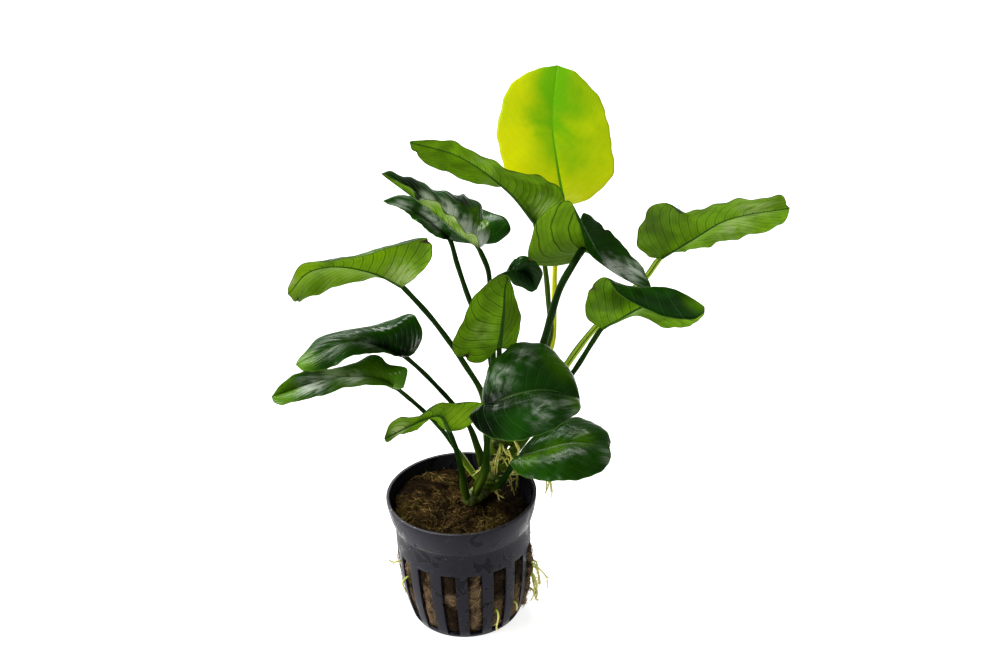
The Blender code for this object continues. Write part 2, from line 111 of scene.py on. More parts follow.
# Each leaf, in millimetres from the middle of the plug's top: how far along the rhizome its stalk
# starts, the midrib from stalk to tip, the margins as seen with the tip up and the upper side in
# front, and the points that the stalk passes. "nibbles" are (side, share, depth) bites in a margin,
# "scars" are (side, share, radius) brown spots, and "marks" are patches of colour, as (kind, side,
# share, radius, strength). The pale marks are painted highlights, the near-black marks are painted
# shade, and the lime marks are the blade's paler yellow-green, partly painted light shining through
# it. A side is -1 at the left margin and 1 at the right one.
LEAVES = {
    "leaf_01": {
        "grip": 0.8, "cup": 0.03, "ruffle": 0.35, "quilt": 0.16, "keel": 0.5, "scars": [(-0.85, 0.97, 1.2)],
        "marks": [("lime", 0.5, 0.45, 24, 0.55), ("lime", 0.4, 0.8, 24, 0.75), ("lime", -0.2, 0.9, 14, 0.6),
            ("painted_highlight", 0.5, 0.08, 9, 0.6)],
        "rib": [(43, 40, 101), (41, 46, 115), (40, 53, 129), (43, 62, 147)],
        "left": [(36, 40, 103), (24, 44, 111), (20, 51, 127), (26, 58, 142), (35, 61, 146)],
        "right": [(52, 41, 103), (61, 44, 111), (61, 50, 122), (58, 56, 135), (50, 60, 144)],
        "stem": [(36, 26, 51), (38, 32, 69), (39, 36, 81)],
    },
    "leaf_02": {
        "grip": 0.98, "ruffle": 0.6, "waves": 5.0, "sweep": 0.34, "tone": 0.25,
        "nibbles": [(-1, 0.1, 0.9), (1, 0.93, 1.2)],
        "marks": [("painted_highlight", -0.5, 0.15, 9, 0.6), ("painted_highlight", 0.5, 0.4, 10, 0.5),
            ("painted_highlight", -0.4, 0.6, 9, 0.4)],
        "rib": [(31, 24, 102), (22, 22, 115), (6, 20, 129), (-11, 18, 136)],
        "left": [(37, 22, 106), (41, 20, 112), (37, 18, 119), (28, 16, 123), (19, 15, 127), (8, 15, 134),
            (-2, 16, 137)],
        "right": [(36, 34, 101), (31, 40, 108), (21, 36, 112), (15, 30, 114), (4, 26, 120), (-5, 22, 126),
            (-10, 19, 132)],
        "stem": [(35, 19, 58), (35, 22, 72), (34, 23, 86)],
    },
    "leaf_03": {
        "grip": 0.86, "pace": 2.0, "cup": 0.0, "ruffle": 0.4, "girth": 1.35, "tone": 0.7,
        "nibbles": [(-1, 0.45, 1.0)],
        "marks": [("painted_highlight", 0.3, 0.78, 11, 0.8), ("painted_highlight", -0.5, 0.8, 9, 0.7), ("painted_highlight", 0.5, 0.9, 6, 0.6),
            ("painted_shade", 0.6, 0.15, 14, 0.35)],
        "rib": [(48, 20, 93), (53, 20, 88), (61, 18, 82), (71, 15, 77)],
        "left": [(47, 26, 97), (49, 30, 102), (56, 32, 96), (61, 30, 91), (68, 24, 84), (71, 17, 79)],
        "right": [(42, 20, 87), (28, 13, 92), (31, 8, 109), (41, 8, 116), (45, 11, 107), (49, 16, 93),
            (61, 17, 82)],
        "stem": [(32, 13, 59), (38, 10, 82), (43, 6, 94)],
    },
    "leaf_04": {
        "grip": 0.7, "ruffle": 0.7, "waves": 5.5, "girth": 1.25, "tone": 0.3, "nibbles": [(1, 0.98, 1.0)],
        "marks": [("painted_shade", 0.7, 0.3, 12, 0.4), ("painted_shade", 0.4, 0.12, 9, 0.35),
            ("painted_highlight", -0.5, 0.6, 12, 0.6), ("painted_highlight", 0.3, 0.8, 12, 0.5)],
        "rib": [(77, 34, 81), (88, 33, 88), (101, 32, 96), (123, 30, 100)],
        "left": [(82, 36, 82), (90, 40, 81), (103, 40, 84), (117, 36, 89), (122, 32, 94)],
        "right": [(72, 30, 84), (68, 27, 90), (70, 26, 102), (77, 25, 106), (83, 25, 103), (90, 26, 102),
            (95, 26, 105), (106, 27, 105), (119, 29, 105)],
        "stem": [(41, 19, 47), (52, 24, 59), (72, 32, 75)],
    },
    "leaf_05": {
        "grip": 0.58, "ruffle": 0.3, "tone": 0.1, "nibbles": [(1, 0.3, 0.8)], "scars": [(1, 0.3, 0.8)],
        "marks": [("painted_shade", 0.8, 0.2, 9, 0.5), ("painted_shade", 0.4, 0.4, 9, 0.4), ("lime", -0.5, 0.9, 9, 0.8)],
        "rib": [(52, 4, 69), (59, 4, 73), (69, 2, 78), (87, -2, 78)],
        "left": [(56, 6, 69), (63, 8, 71), (68, 8, 70), (75, 8, 66), (83, 4, 68), (87, 0, 74)],
        "right": [(47, 2, 74), (46, 0, 81), (48, -2, 88), (53, -3, 92), (57, -7.5, 87), (68, -8.5, 80.5),
            (80, -10, 77.5), (86, -5.5, 77.5)],
        "right_crest": [(50, 3, 74), (52, 0, 81), (57, 4, 84), (66, 6, 83), (76, 6, 82), (84, 2, 79)],
        "stem": [(42, 10, 48)],
    },
    "leaf_06": {
        "grip": 0.7, "ruffle": 0.4, "tone": 0.5, "girth": 1.0, "nibbles": [(-1, 0.34, 1.3), (1, 0.85, 1.0)],
        "marks": [("lime", -0.5, 0.5, 16, 0.35), ("lime", 0.5, 0.5, 14, 0.5), ("lime", -0.5, 0.1, 10, 0.4),
            ("lime", 0.0, 0.9, 12, 0.8), ("painted_highlight", -0.5, 0.12, 11, 0.9), ("painted_highlight", -0.9, 0.93, 4, 1.0)],
        "rib": [(-16, 0, 91), (-25, -3, 98), (-37, -9, 104), (-46, -13, 104), (-53, -14, 97)],
        "left": [(-11, -6, 97), (-6, -12, 106), (-6, -14, 114), (-14, -14, 113), (-27, -14, 109),
            (-38, -15, 109), (-47, -16, 108), (-52, -16, 101)],
        "right": [(-19, 4, 91), (-26, 6, 92), (-36, 4, 91), (-47, -4, 91), (-51, -10, 92)],
        "stem": [(10, 8, 41), (4, 6, 56), (-6, 2, 76)],
    },
    "leaf_07": {
        "grip": 0.87, "ruffle": 0.7, "quilt": 0.2, "waves": 4.5, "nibbles": [(1, 0.45, 0.8)],
        "marks": [("painted_highlight", 0.15, 0.12, 8, 1.0), ("painted_highlight", 0.15, 0.3, 8, 1.0), ("painted_highlight", 0.2, 0.48, 8, 1.0),
            ("painted_highlight", 0.15, 0.65, 6, 0.9), ("painted_shade", 0.7, 0.45, 7, 0.8), ("painted_highlight", -0.8, 0.2, 6, 0.9),
            ("painted_highlight", -0.8, 0.4, 6, 0.9), ("painted_highlight", -0.8, 0.6, 6, 0.9), ("lime", 0.9, 0.2, 9, 0.8),
            ("painted_shade", 0.5, 0.8, 8, 0.8)],
        "rib": [(11, 22, 94), (5, 20, 100), (-5, 18, 111), (-21, 16, 126)],
        "left": [(10, 18, 100), (5, 16, 105), (1, 14, 111), (-3, 14, 115), (-9, 14, 117), (-10, 14, 119),
            (-15, 14, 123), (-18, 15, 125)],
        "right": [(14, 22, 97), (15, 24, 103), (13, 30, 102), (12, 36, 105), (7, 40, 108), (4, 38, 108),
            (-7, 30, 116), (-17, 22, 124)],
        "stem": [(12, 13, 38), (14, 14, 52), (14, 21, 84)],
    },
    "leaf_08": {
        "grip": 0.98, "ruffle": 0.5, "quilt": 0.2, "waves": 3.0,
        "marks": [("painted_highlight", -0.2, 0.35, 6, 0.54), ("painted_highlight", 0.2, 0.55, 7, 0.54),
            ("painted_highlight", 0.0, 0.8, 6, 0.54), ("painted_shade", 0.3, 0.05, 7, 0.7)],
        "rib": [(1, 48, 87), (-6, 50, 93), (-14, 51, 99), (-23, 52, 102)],
        "left": [(-2, 44, 89), (-8, 45, 93), (-15, 48, 99), (-20, 50, 101)],
        "right": [(8, 44, 87), (18, 40, 88), (23, 40, 93), (20, 46, 96), (9, 54, 98), (-6, 56, 101),
            (-17, 54, 103)],
        "stem": [(13, 26, 53), (7, 36, 67), (3, 44, 79)],
    },
    "leaf_09": {
        "grip": 0.95, "ruffle": 0.4, "tone": 0.35, "nibbles": [(1, 0.22, 1.2), (-1, 0.78, 1.2)],
        "marks": [("painted_shade", 0.0, 0.88, 9, 0.8), ("painted_highlight", 0.4, 0.3, 8, 0.35)],
        "rib": [(16, 3, 64), (18, 5, 77), (20, 8, 88), (26, 10, 90), (30, 7, 84)],
        "left": [(21, 5, 63), (24, 7, 71), (23, 10, 79), (21, 12, 85), (21, 12, 90), (24, 10, 95),
            (28, 8, 96), (32, 7, 90)],
        "right": [(9, 4, 58), (1, 3, 62), (0, 2, 69), (4, 2, 76), (8, 3, 84), (14, 4, 90), (19, 5, 91),
            (22, 6, 87), (25, 7, 85), (28, 7, 83)],
        "stem": [(17, 9, 40), (16, 7, 56)],
    },
    "leaf_10": {
        "grip": 0.45, "ruffle": 0.5, "girth": 0.85, "quilt": 0.16, "sweep": 0.5,
        "marks": [("painted_highlight", -0.3, 0.45, 7, 0.32), ("painted_highlight", -0.3, 0.7, 7, 0.4),
            ("painted_highlight", 0.3, 0.6, 6, 0.25), ("lime", 0.0, 0.97, 9, 1.0), ("painted_shade", 0.5, 0.2, 14, 0.9),
            ("painted_shade", -0.2, 0.25, 10, 0.8), ("lime", 0.9, 0.1, 5, 0.5)],
        "rib": [(-17, -8, 69), (-23, -10, 72), (-34, -14, 78), (-52, -22, 75)],
        "left": [(-19, -14, 72), (-26, -20, 77), (-33, -24, 78), (-42, -26, 75), (-49, -25, 74)],
        "right": [(-13, -14, 73), (-10, -12, 77), (-12, -6, 82), (-15, -2, 82), (-24, 2, 76), (-33, 0, 76),
            (-43, -6, 77), (-51, -16, 75)],
        "stem": [(8, 7, 18), (3, 2, 36), (-8, -4, 56)],
    },
    "leaf_11": {
        "grip": 0.33, "ruffle": 0.5, "girth": 0.8, "quilt": 0.16, "tone": 1.0, "sweep": 0.4,
        "marks": [("lime", 0.0, 0.35, 20, 0.85), ("lime", 0.0, 0.95, 12, 0.9), ("lime", -0.6, 0.02, 7, 1.0),
            ("painted_highlight", -0.3, 0.45, 9, 0.75), ("painted_highlight", -0.3, 0.7, 9, 0.75), ("painted_highlight", 0.4, 0.6, 8, 0.7)],
        "rib": [(-20, -16, 61), (-28, -18, 66), (-41, -22, 69), (-60, -30, 68)],
        "left": [(-23, -22, 65), (-30, -27, 69), (-38, -30, 69), (-47, -34, 69), (-56, -34, 67),
            (-59, -32, 67)],
        "right": [(-17, -20, 64), (-16, -18, 69), (-21, -14, 69), (-26, -10, 70), (-32, -10, 69),
            (-39, -14, 69), (-52, -24, 73), (-57, -28, 71)],
        "stem": [(4, 5, 13), (-5, -2, 34), (-11, -8, 46)],
    },
    "leaf_12": {
        "grip": 0.03, "ruffle": 0.3, "tone": 0.4,
        "marks": [("painted_highlight", 0.0, 0.85, 6, 0.9), ("painted_shade", 0.5, 0.9, 5, 0.6), ("lime", -0.5, 0.2, 9, 0.5)],
        "rib": [(-3, -10, 39), (-6, -12, 47), (-13, -17, 48), (-25, -24, 46)],
        "left": [(3, -8, 39), (9, -10, 49), (1, -12, 51), (-6, -14, 53), (-10, -16, 51), (-13, -18, 50),
            (-19, -20, 52), (-23, -22, 50)],
        "right": [(-5, -8, 39), (-9, -11, 45), (-12, -14, 45), (-15, -17, 44), (-20, -20, 45),
            (-24, -23, 44)],
        "stem": [(1, -1, 14), (-1, -6, 29)],
    },
    "leaf_13": {
        "grip": 0.14, "ruffle": 0.35, "quilt": 0.08, "tone": 0.35, "girth": 1.2,
        "marks": [("painted_shade", 0.6, 0.05, 14, 1.0), ("painted_shade", 0.95, 0.22, 13, 1.0),
            ("painted_shade", 0.3, 0.02, 11, 1.0), ("painted_highlight", 0.55, 0.6, 10, 0.35), ("painted_highlight", 0.75, 0.8, 8, 0.31),
            ("painted_highlight", -0.45, 0.3, 11, 0.31), ("painted_highlight", -0.6, 0.5, 9, 0.24), ("lime", -0.75, 0.75, 11, 0.6),
            ("lime", 0.9, 0.9, 7, 0.5)],
        "rib": [(11, -22, 55), (20, -22, 59), (30, -20, 59), (42, -18, 54)],
        "left": [(9, -18, 55), (10, -10, 59), (15, -4, 64), (23, 1, 67), (33, -1, 65), (40, -7, 59)],
        "right": [(4, -28, 55), (7, -32, 52), (14, -36, 50), (24, -37, 51), (33, -34, 53), (41, -26, 54)],
        "stem": [(9, -4, 18), (10, -12, 36)],
    },
    "leaf_14": {
        "grip": 0.33, "ruffle": 0.3, "quilt": 0.06, "tone": 0.6, "girth": 1.2,
        "marks": [("lime", 0.1, 0.5, 8, 0.6), ("lime", 0.3, 0.25, 8, 0.5), ("lime", -0.1, 0.75, 7, 0.5),
            ("painted_highlight", 0.85, 0.9, 6, 0.42), ("painted_shade", -0.2, 0.15, 6, 0.6)],
        "rib": [(21, -4, 23), (31, -6, 27), (41, -8, 30), (53, -12, 30)],
        "left": [(24, 2, 24), (32, 6, 28), (41, 8, 31), (48, 5, 31), (52, 0, 31), (54, -6, 29)],
        "right": [(18, -8, 23), (21, -14, 22), (28, -20, 23), (36, -24, 25), (45, -24, 26), (50, -21, 27),
            (53, -16, 28)],
        "stem": [(14, -1, 10), (17, -3, 16)],
    },
}

# Aerial roots that leave the rhizome: how far along it, then the points they pass
HANGING_ROOTS = {
    "root_01": {"grip": 0.5, "points": [(13, 3, 16), (10, 0, 19), (5, 0, 14)]},
    "root_02": {"grip": 0.82, "points": [(15, 6, 21), (14, 5, 16), (13, 4, 11)]},
    "root_03": {"grip": 0.64, "points": [(16, 6, 17), (17, 5, 15), (18, 4, 12)]},
    "root_04": {"grip": 0.76, "points": [(18, 5, 20), (19, 2, 17), (19, 1, 12)]},
    "root_05": {"grip": 0.9, "points": [(19, 6, 27), (21, 2, 24), (22, 1, 19)]},
    "root_06": {"grip": 0.42, "points": [(18, 8, 8), (19, 7, 1)]},
    "root_07": {"grip": 0.56, "points": [(21, 11, 9), (21, 10, 1)]},
    "root_08": {"grip": 0.38, "points": [(13, 4, 4), (14, 2, 1)]},
}

# Roots that hang over the rim: bearing, then distance past the rim and height above it
RIM_ROOTS = {
    "root_09": {"grip": 0.4, "bearing": 12, "points": [(-5, 5), (1, 4), (5, -2), (5, -8)]},
    "root_10": {"grip": 0.52, "bearing": 19, "points": [(-6, 4), (3, 4), (8, -4), (9, -12)]},
}

# Roots that leave through a slot: slot, bearing from its middle, start height,
# then distance past the wall and height above the foot
SLOT_ROOTS = {
    "root_11": {"slot": 15, "bearing": 2, "height": 22, "points": [(2, 21), (4, 17), (5, 11)]},
    "root_12": {"slot": 15, "bearing": -2, "height": 17, "points": [(2, 17), (4, 12), (4, 7)]},
    "root_13": {"slot": 15, "bearing": 1, "height": 11, "points": [(2, 10), (4, 7), (6, 4)]},
    "root_14": {"slot": 13, "bearing": -3, "height": 13, "points": [(1.2, 12), (1.2, 7), (1.4, 2)]},
    "root_15": {"slot": 14, "bearing": -4, "height": 12, "points": [(1.2, 11), (1.3, 8)]},
    "root_16": {"slot": 8, "bearing": 3, "height": 25, "points": [(2, 25), (4, 26)]},
    "root_17": {"slot": 9, "bearing": -3, "height": 23, "points": [(1.5, 21), (1.5, 15)]},
}


# Settings that a user would change

def color_setting(label, about, default):
    return FloatVectorProperty(
        name=label, description=about, default=default, size=3, subtype="COLOR")


def length_setting(label, about, default):
    return FloatProperty(name=label, description=about, default=default, unit="LENGTH")


def angle_setting(label, about, degrees):
    return FloatProperty(
        name=label, description=about, default=math.radians(degrees), subtype="ANGLE")


def number_setting(label, about, default, kind=FloatProperty):
    return kind(name=label, description=about, default=default)


class AnubiasStage(bpy.types.PropertyGroup):
    """Where the plant is looked at from, and how it is lit."""

    camera_height: length_setting("Camera height", "Height of the camera above the floor", 0.3336)
    camera_distance: length_setting(
        "Camera distance", "Distance of the camera in front of the pot's middle", 0.4272)
    tilt: angle_setting("Tilt", "How far the camera looks down", 27.04)
    pan: angle_setting("Pan", "How far the camera looks to the right", 2.19)
    roll: angle_setting("Roll", "How far the camera leans about its own line of sight", -2.14)
    floor_color: color_setting("Floor", "Colour of the floor", (0.50, 0.50, 0.50))
    floor_glow: number_setting(
        "Floor glow", "Light given off by the floor, as on a light table", 0.68)
    sky_strength: number_setting(
        "Sky strength", "Strength of the even light from all round", 0.32)
    key_power: number_setting("Softbox power", "Power of the large softbox, in watts", 15.0)


class AnubiasPot(bpy.types.PropertyGroup):
    """Finish and fine sizes of the net pot."""

    plastic: color_setting("Plastic", "Colour of the moulded plastic", (0.0190, 0.0178, 0.0255))
    edge_round: length_setting(
        "Edge rounding", "Radius on the rim, the collar and the slots", 0.00018)
    rib_columns: number_setting(
        "Columns per rib", "Columns of faces on each rib and each slot", 5, IntProperty)
    drops: number_setting("Drops", "Water drops per square metre of wall", 9000.0)


class AnubiasPlug(bpy.types.PropertyGroup):
    """Colour and roughness of the growing plug."""

    fibre: color_setting("Fibre", "Main colour of the fibres", (0.15, 0.088, 0.026))
    lump: length_setting("Lump height", "How far the plug's top heaves up and down", 0.0015)
    fibre_density: number_setting("Fibre density", "Fibres per square metre of plug", 560000.0)
    fibre_length: length_setting("Fibre length", "Length of one fibre", 0.0034)
    fibre_radius: length_setting("Fibre radius", "Radius of one fibre", 0.00008)


class AnubiasPlant(bpy.types.PropertyGroup):
    """Colours and fine sizes of leaves, stalks, rhizome and roots."""

    upper: color_setting("Upper side", "Colour of a leaf's upper side", (0.0060, 0.042, 0.0020))
    under: color_setting("Under side", "Colour of a leaf's under side", (0.145, 0.295, 0.0048))
    yellow: color_setting("Ageing leaf", "Colour of the ageing leaf", (0.63, 0.67, 0.0008))
    stalk: color_setting("Stalk", "Colour of the stalks", (0.012, 0.040, 0.0025))
    sheath: color_setting(
        "Sheath", "Colour of the pale sheaths at the foot of the stalks", (0.42, 0.58, 0.060))
    root: color_setting("Root", "Colour of the roots", (0.84, 0.78, 0.24))
    thickness: length_setting(
        "Blade thickness", "Thickness of a blade beside its midrib", 0.00045)
    rows: number_setting("Blade rows", "Rows of faces along a blade", 132, IntProperty)
    columns: number_setting(
        "Blade columns", "Columns of faces on each half of a blade", 26, IntProperty)
    vein_pitch: length_setting(
        "Vein pitch", "Spacing of the side veins along the midrib", 0.0031)
    stalk_swell: number_setting(
        "Stalk swell", "Stalk thickness as a share of the solid stalk's", 0.94)
    root_radius: length_setting("Root radius", "Radius of a root where it starts", 0.00045)


# Node trees

class Wiring:
    """Adds nodes to a tree by type, with values or links given by socket name or number."""

    def __init__(self, tree):
        self.tree = tree

    def add(self, kind, inputs=None, **settings):
        node = self.tree.nodes.new(kind)
        for name, value in settings.items():
            setattr(node, name, value)
        self.send(node, inputs or {})
        return node

    def send(self, node, values):
        for socket, value in values.items():
            self.feed(node.inputs[socket], value)

    def feed(self, socket, value):
        if isinstance(value, bpy.types.NodeSocket):
            self.tree.links.new(value, socket)
        elif socket.type == "RGBA" and len(value) == 3:
            socket.default_value = (*value, 1.0)
        else:
            socket.default_value = value

    def math(self, operation, *values, clamp=False):
        node = self.add("ShaderNodeMath", operation=operation, use_clamp=clamp)
        for socket, value in zip(node.inputs, values):
            self.feed(socket, value)
        return node.outputs[0]

    def plus(self, first, second, clamp=False):
        return self.math("ADD", first, second, clamp=clamp)

    def minus(self, first, second):
        return self.math("SUBTRACT", first, second)

    def times(self, first, second):
        return self.math("MULTIPLY", first, second)

    def scaled(self, value, size, start):
        """start + size * value."""
        return self.plus(self.times(value, size), start)

    def swing(self, value, size):
        """A value about a half, made to swing about zero."""
        return self.times(self.minus(value, 0.5), size)

    def cosine(self, turns):
        return self.math("COSINE", self.times(turns, TURN))

    def ramp(self, value, low, high, smooth=True):
        """0 below low and 1 above high, or the other way round if high is the smaller."""
        flip = high < low
        node = self.add(
            "ShaderNodeMapRange",
            {"Value": value, "From Min": min(low, high), "From Max": max(low, high),
             "To Min": 1.0 if flip else 0.0, "To Max": 0.0 if flip else 1.0},
            interpolation_type="SMOOTHSTEP" if smooth else "LINEAR")
        return node.outputs["Result"]

    def mix(self, share, first, second):
        """A colour that goes from first to second as share goes from 0 to 1."""
        node = self.add("ShaderNodeMix", data_type="RGBA")
        self.send(node, {0: share, 6: first, 7: second})
        return node.outputs[2]

    def coats(self, base, *layers):
        """Lays colours over a base in turn, each given as (share, colour)."""
        for share, color in layers:
            base = self.mix(share, base, color)
        return base

    def noise(self, place, scale, detail=3.0, roughness=0.55, distortion=0.0):
        return self.add(
            "ShaderNodeTexNoise",
            {"Vector": place, "Scale": scale, "Detail": detail, "Roughness": roughness,
             "Distortion": distortion}).outputs[0]

    def attribute(self, name, output="Fac"):
        return self.add("ShaderNodeAttribute", attribute_name=name).outputs[output]

    def object_place(self):
        return self.add("ShaderNodeTexCoord").outputs["Object"]

    def stretched(self, place, scale, rotation=(0.0, 0.0, 0.0)):
        return self.add("ShaderNodeMapping", {
            "Vector": place, "Rotation": rotation, "Scale": scale}).outputs["Vector"]

    def vector(self, x, y, z=0.0):
        return self.add("ShaderNodeCombineXYZ", {"X": x, "Y": y, "Z": z}).outputs["Vector"]

    def split(self, vector):
        return self.add("ShaderNodeSeparateXYZ", {"Vector": vector}).outputs

    def bump(self, height, distance, strength):
        return self.add("ShaderNodeBump", {
            "Height": height, "Distance": distance, "Strength": strength}).outputs["Normal"]

    def stored(self, name):
        """A stored number, read in a geometry tree."""
        return self.add("GeometryNodeInputNamedAttribute", {"Name": name},
                        data_type="FLOAT").outputs["Attribute"]

    def store(self, geometry, name, value, domain="POINT"):
        return self.add("GeometryNodeStoreNamedAttribute",
                        {"Geometry": geometry, "Name": name, "Value": value},
                        data_type="FLOAT", domain=domain).outputs["Geometry"]

    def chance(self, low, high, seed):
        return self.add("FunctionNodeRandomValue", {2: low, 3: high, "Seed": seed},
                        data_type="FLOAT").outputs[1]


def new_group(name, kind, inputs, outputs):
    """A node group with named sockets. Each input is (name, socket kind, default)."""
    group = bpy.data.node_groups.new(name, kind)
    for label, socket_kind, default in inputs:
        socket = group.interface.new_socket(
            label, in_out="INPUT", socket_type="NodeSocket" + socket_kind)
        if default is not None:
            socket.default_value = default
    for label, socket_kind in outputs:
        group.interface.new_socket(
            label, in_out="OUTPUT", socket_type="NodeSocket" + socket_kind)
    wiring = Wiring(group)
    entry = wiring.add("NodeGroupInput").outputs
    leave = wiring.add("NodeGroupOutput")
    return group, wiring, entry, leave


def new_material(name):
    """An empty material with a Principled shader, and the wiring of its tree."""
    material = bpy.data.materials.new(name)
    material.use_nodes = True
    shader = material.node_tree.nodes["Principled BSDF"]
    return material, Wiring(material.node_tree), shader


def finish_tree(wiring, geometry, entry, leave):
    """Realize Instances, smooth faces and Set Material, as every tree ends."""
    whole = wiring.add("GeometryNodeRealizeInstances", {"Geometry": geometry}).outputs["Geometry"]
    smooth = wiring.add("GeometryNodeSetShadeSmooth", {"Geometry": whole}).outputs["Geometry"]
    painted = wiring.add("GeometryNodeSetMaterial",
                         {"Geometry": smooth, "Material": entry["Material"]})
    wiring.send(leave, {"Mesh": painted.outputs["Geometry"]})


# Pieces

def link(name, data):
    thing = bpy.data.objects.new(name, data)
    bpy.context.scene.collection.objects.link(thing)
    return thing


def take_mesh(holder):
    """The evaluated mesh of an object, which is removed."""
    bpy.context.view_layer.update()
    seen = holder.evaluated_get(bpy.context.evaluated_depsgraph_get())
    mesh = bpy.data.meshes.new_from_object(seen)
    bpy.data.objects.remove(holder, do_unlink=True)
    return mesh


def grow(name, source, tree, inputs):
    """Runs a geometry tree on a mesh and returns what it made as a plain mesh."""
    holder = link(name + "_source", source)
    modifier = holder.modifiers.new("tree", "NODES")
    modifier.node_group = tree
    for socket in tree.interface.items_tree:
        if socket.item_type == "SOCKET" and socket.in_out == "INPUT" and socket.name in inputs:
            modifier[socket.identifier] = inputs[socket.name]
    holder.update_tag()
    mesh = take_mesh(holder)
    if not mesh.polygons:
        raise RuntimeError(f"{name}: the geometry tree made no faces")
    return mesh


def place_piece(name, mesh, nodes, group_name):
    """Puts a finished mesh in its collection, rides it and hides the solids it stands for."""
    mesh.name = name
    mesh.validate()
    piece = bpy.data.objects.new(name, mesh)
    group = bpy.data.collections.get(group_name)
    if group is None:
        group = bpy.data.collections.new(group_name)
        bpy.context.scene.collection.children.link(group)
    group.objects.link(piece)
    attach(piece, BODY)
    if nodes:
        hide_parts(*nodes)
    return piece


def fill_mesh(name, points, faces):
    """A smooth mesh from points in millimetres and faces as lists of point numbers."""
    mesh = bpy.data.meshes.new(name)
    mesh.from_pydata([tuple(p) for p in np.asarray(points) * MM], [], faces)
    mesh.polygons.foreach_set("use_smooth", [True] * len(mesh.polygons))
    mesh.update()
    return mesh


def store(mesh, name, values):
    """Stores one number, or three, for each point of a mesh."""
    values = np.asarray(values, float)
    kind, key = ("FLOAT", "value") if values.ndim == 1 else ("FLOAT_VECTOR", "vector")
    layer = mesh.attributes.new(name, kind, "POINT")
    layer.data.foreach_set(key, values.ravel())


def merge_points(mesh, distance=0.002):
    """Welds points closer than a distance in millimetres."""
    draft = bmesh.new()
    draft.from_mesh(mesh)
    bmesh.ops.remove_doubles(draft, verts=draft.verts, dist=distance * MM)
    draft.to_mesh(mesh)
    draft.free()


def ring_faces(rows, columns, is_open=lambda row, column: False):
    """Faces between rings of points, each ring closed on itself, with openings left out."""
    faces = []
    for row in range(rows - 1):
        for column in range(columns):
            if not is_open(row, column):
                a, ahead = row * columns, (column + 1) % columns
                faces.append([a + column, a + columns + column,
                              a + columns + ahead, a + ahead])
    return faces


# Lines

def unit(vector):
    vector = np.asarray(vector, float)
    return vector / np.maximum(np.linalg.norm(vector, axis=-1, keepdims=True), 1e-9)


def along(points, shares):
    """Places at shares of the way along a smooth line through the points."""
    places = np.array(points, float)
    steps = np.linalg.norm(np.diff(places, axis=0), axis=1)
    keys = np.concatenate([[0.0], np.cumsum(steps)]) / steps.sum()
    last = len(places) - 1
    after = np.minimum(np.arange(last + 1) + 1, last)
    before = np.maximum(np.arange(last + 1) - 1, 0)
    slopes = (places[after] - places[before]) / (keys[after] - keys[before])[:, None]
    shares = np.atleast_1d(np.clip(np.asarray(shares, float), 0.0, 1.0))
    index = np.clip(np.searchsorted(keys, shares, side="right") - 1, 0, last - 1)
    span = (keys[index + 1] - keys[index])[:, None]
    u = (shares - keys[index])[:, None] / span
    return (
        (2 * u**3 - 3 * u**2 + 1) * places[index]
        + (u**3 - 2 * u**2 + u) * slopes[index] * span
        + (3 * u**2 - 2 * u**3) * places[index + 1]
        + (u**3 - u**2) * slopes[index + 1] * span
    )


def direction_along(points, shares):
    shares = np.atleast_1d(shares)
    return unit(along(points, np.minimum(shares + 0.02, 1.0))
                - along(points, np.maximum(shares - 0.02, 0.0)))


def line_length(places):
    return float(np.linalg.norm(np.diff(places, axis=0), axis=1).sum())


def from_crown(points):
    """Places given from the middle of the plug's top."""
    return np.asarray(points, float) + (0.0, 0.0, CROWN)


def around(bearing, radius, height):
    angle = math.radians(bearing)
    return np.array((radius * math.cos(angle), radius * math.sin(angle), height))


def smooth_step(values, low, high):
    share = np.clip((np.asarray(values, float) - low) / (high - low), 0.0, 1.0)
    return share * share * (3.0 - 2.0 * share)


# Leaf blades

MARKS = ("lime", "painted_shade", "painted_highlight")
HALVES = (("left", -1), ("right", 1))


def blade_rails(leaf, shares):
    """The midrib, and the margin and crest of each half, at shares of the way along a blade."""
    rib_line = leaf["rib"]
    paced = shares ** leaf.get("pace", BLADE_PACE)
    rib = along(rib_line, paced)
    heading = direction_along(rib_line, paced)
    halves = {}
    for key, side in HALVES:
        margin = along([rib_line[0]] + leaf[key] + [rib_line[-1]], shares)
        if key + "_crest" in leaf:
            crest = along([rib_line[0]] + leaf[key + "_crest"] + [rib_line[-1]], shares)
        else:
            out = margin - rib
            reach = np.linalg.norm(out, axis=1, keepdims=True)
            up = unit(np.cross(out * side, heading))
            crest = rib + out / 2 + up * leaf.get("cup", BLADE_CUP) * reach
        halves[key] = (margin, crest)
    return rib, halves


def fray(leaf, shares, side, phase):
    """How far the margin draws back towards the midrib, in millimetres, with its nibbled spots."""
    wander = 0.22 * np.sin(2 * np.pi * 5.3 * shares + phase)
    wander += 0.14 * np.sin(2 * np.pi * 11.7 * shares + 2.1 * phase + side)
    nibbled = np.zeros_like(shares)
    for spot_side, spot, depth in leaf.get("nibbles", ()):
        if spot_side == side:
            nibbled += depth * np.exp(-(((shares - spot) / 0.016) ** 2))
    return wander * np.sin(np.pi * shares) ** 0.5 + nibbled, nibbled


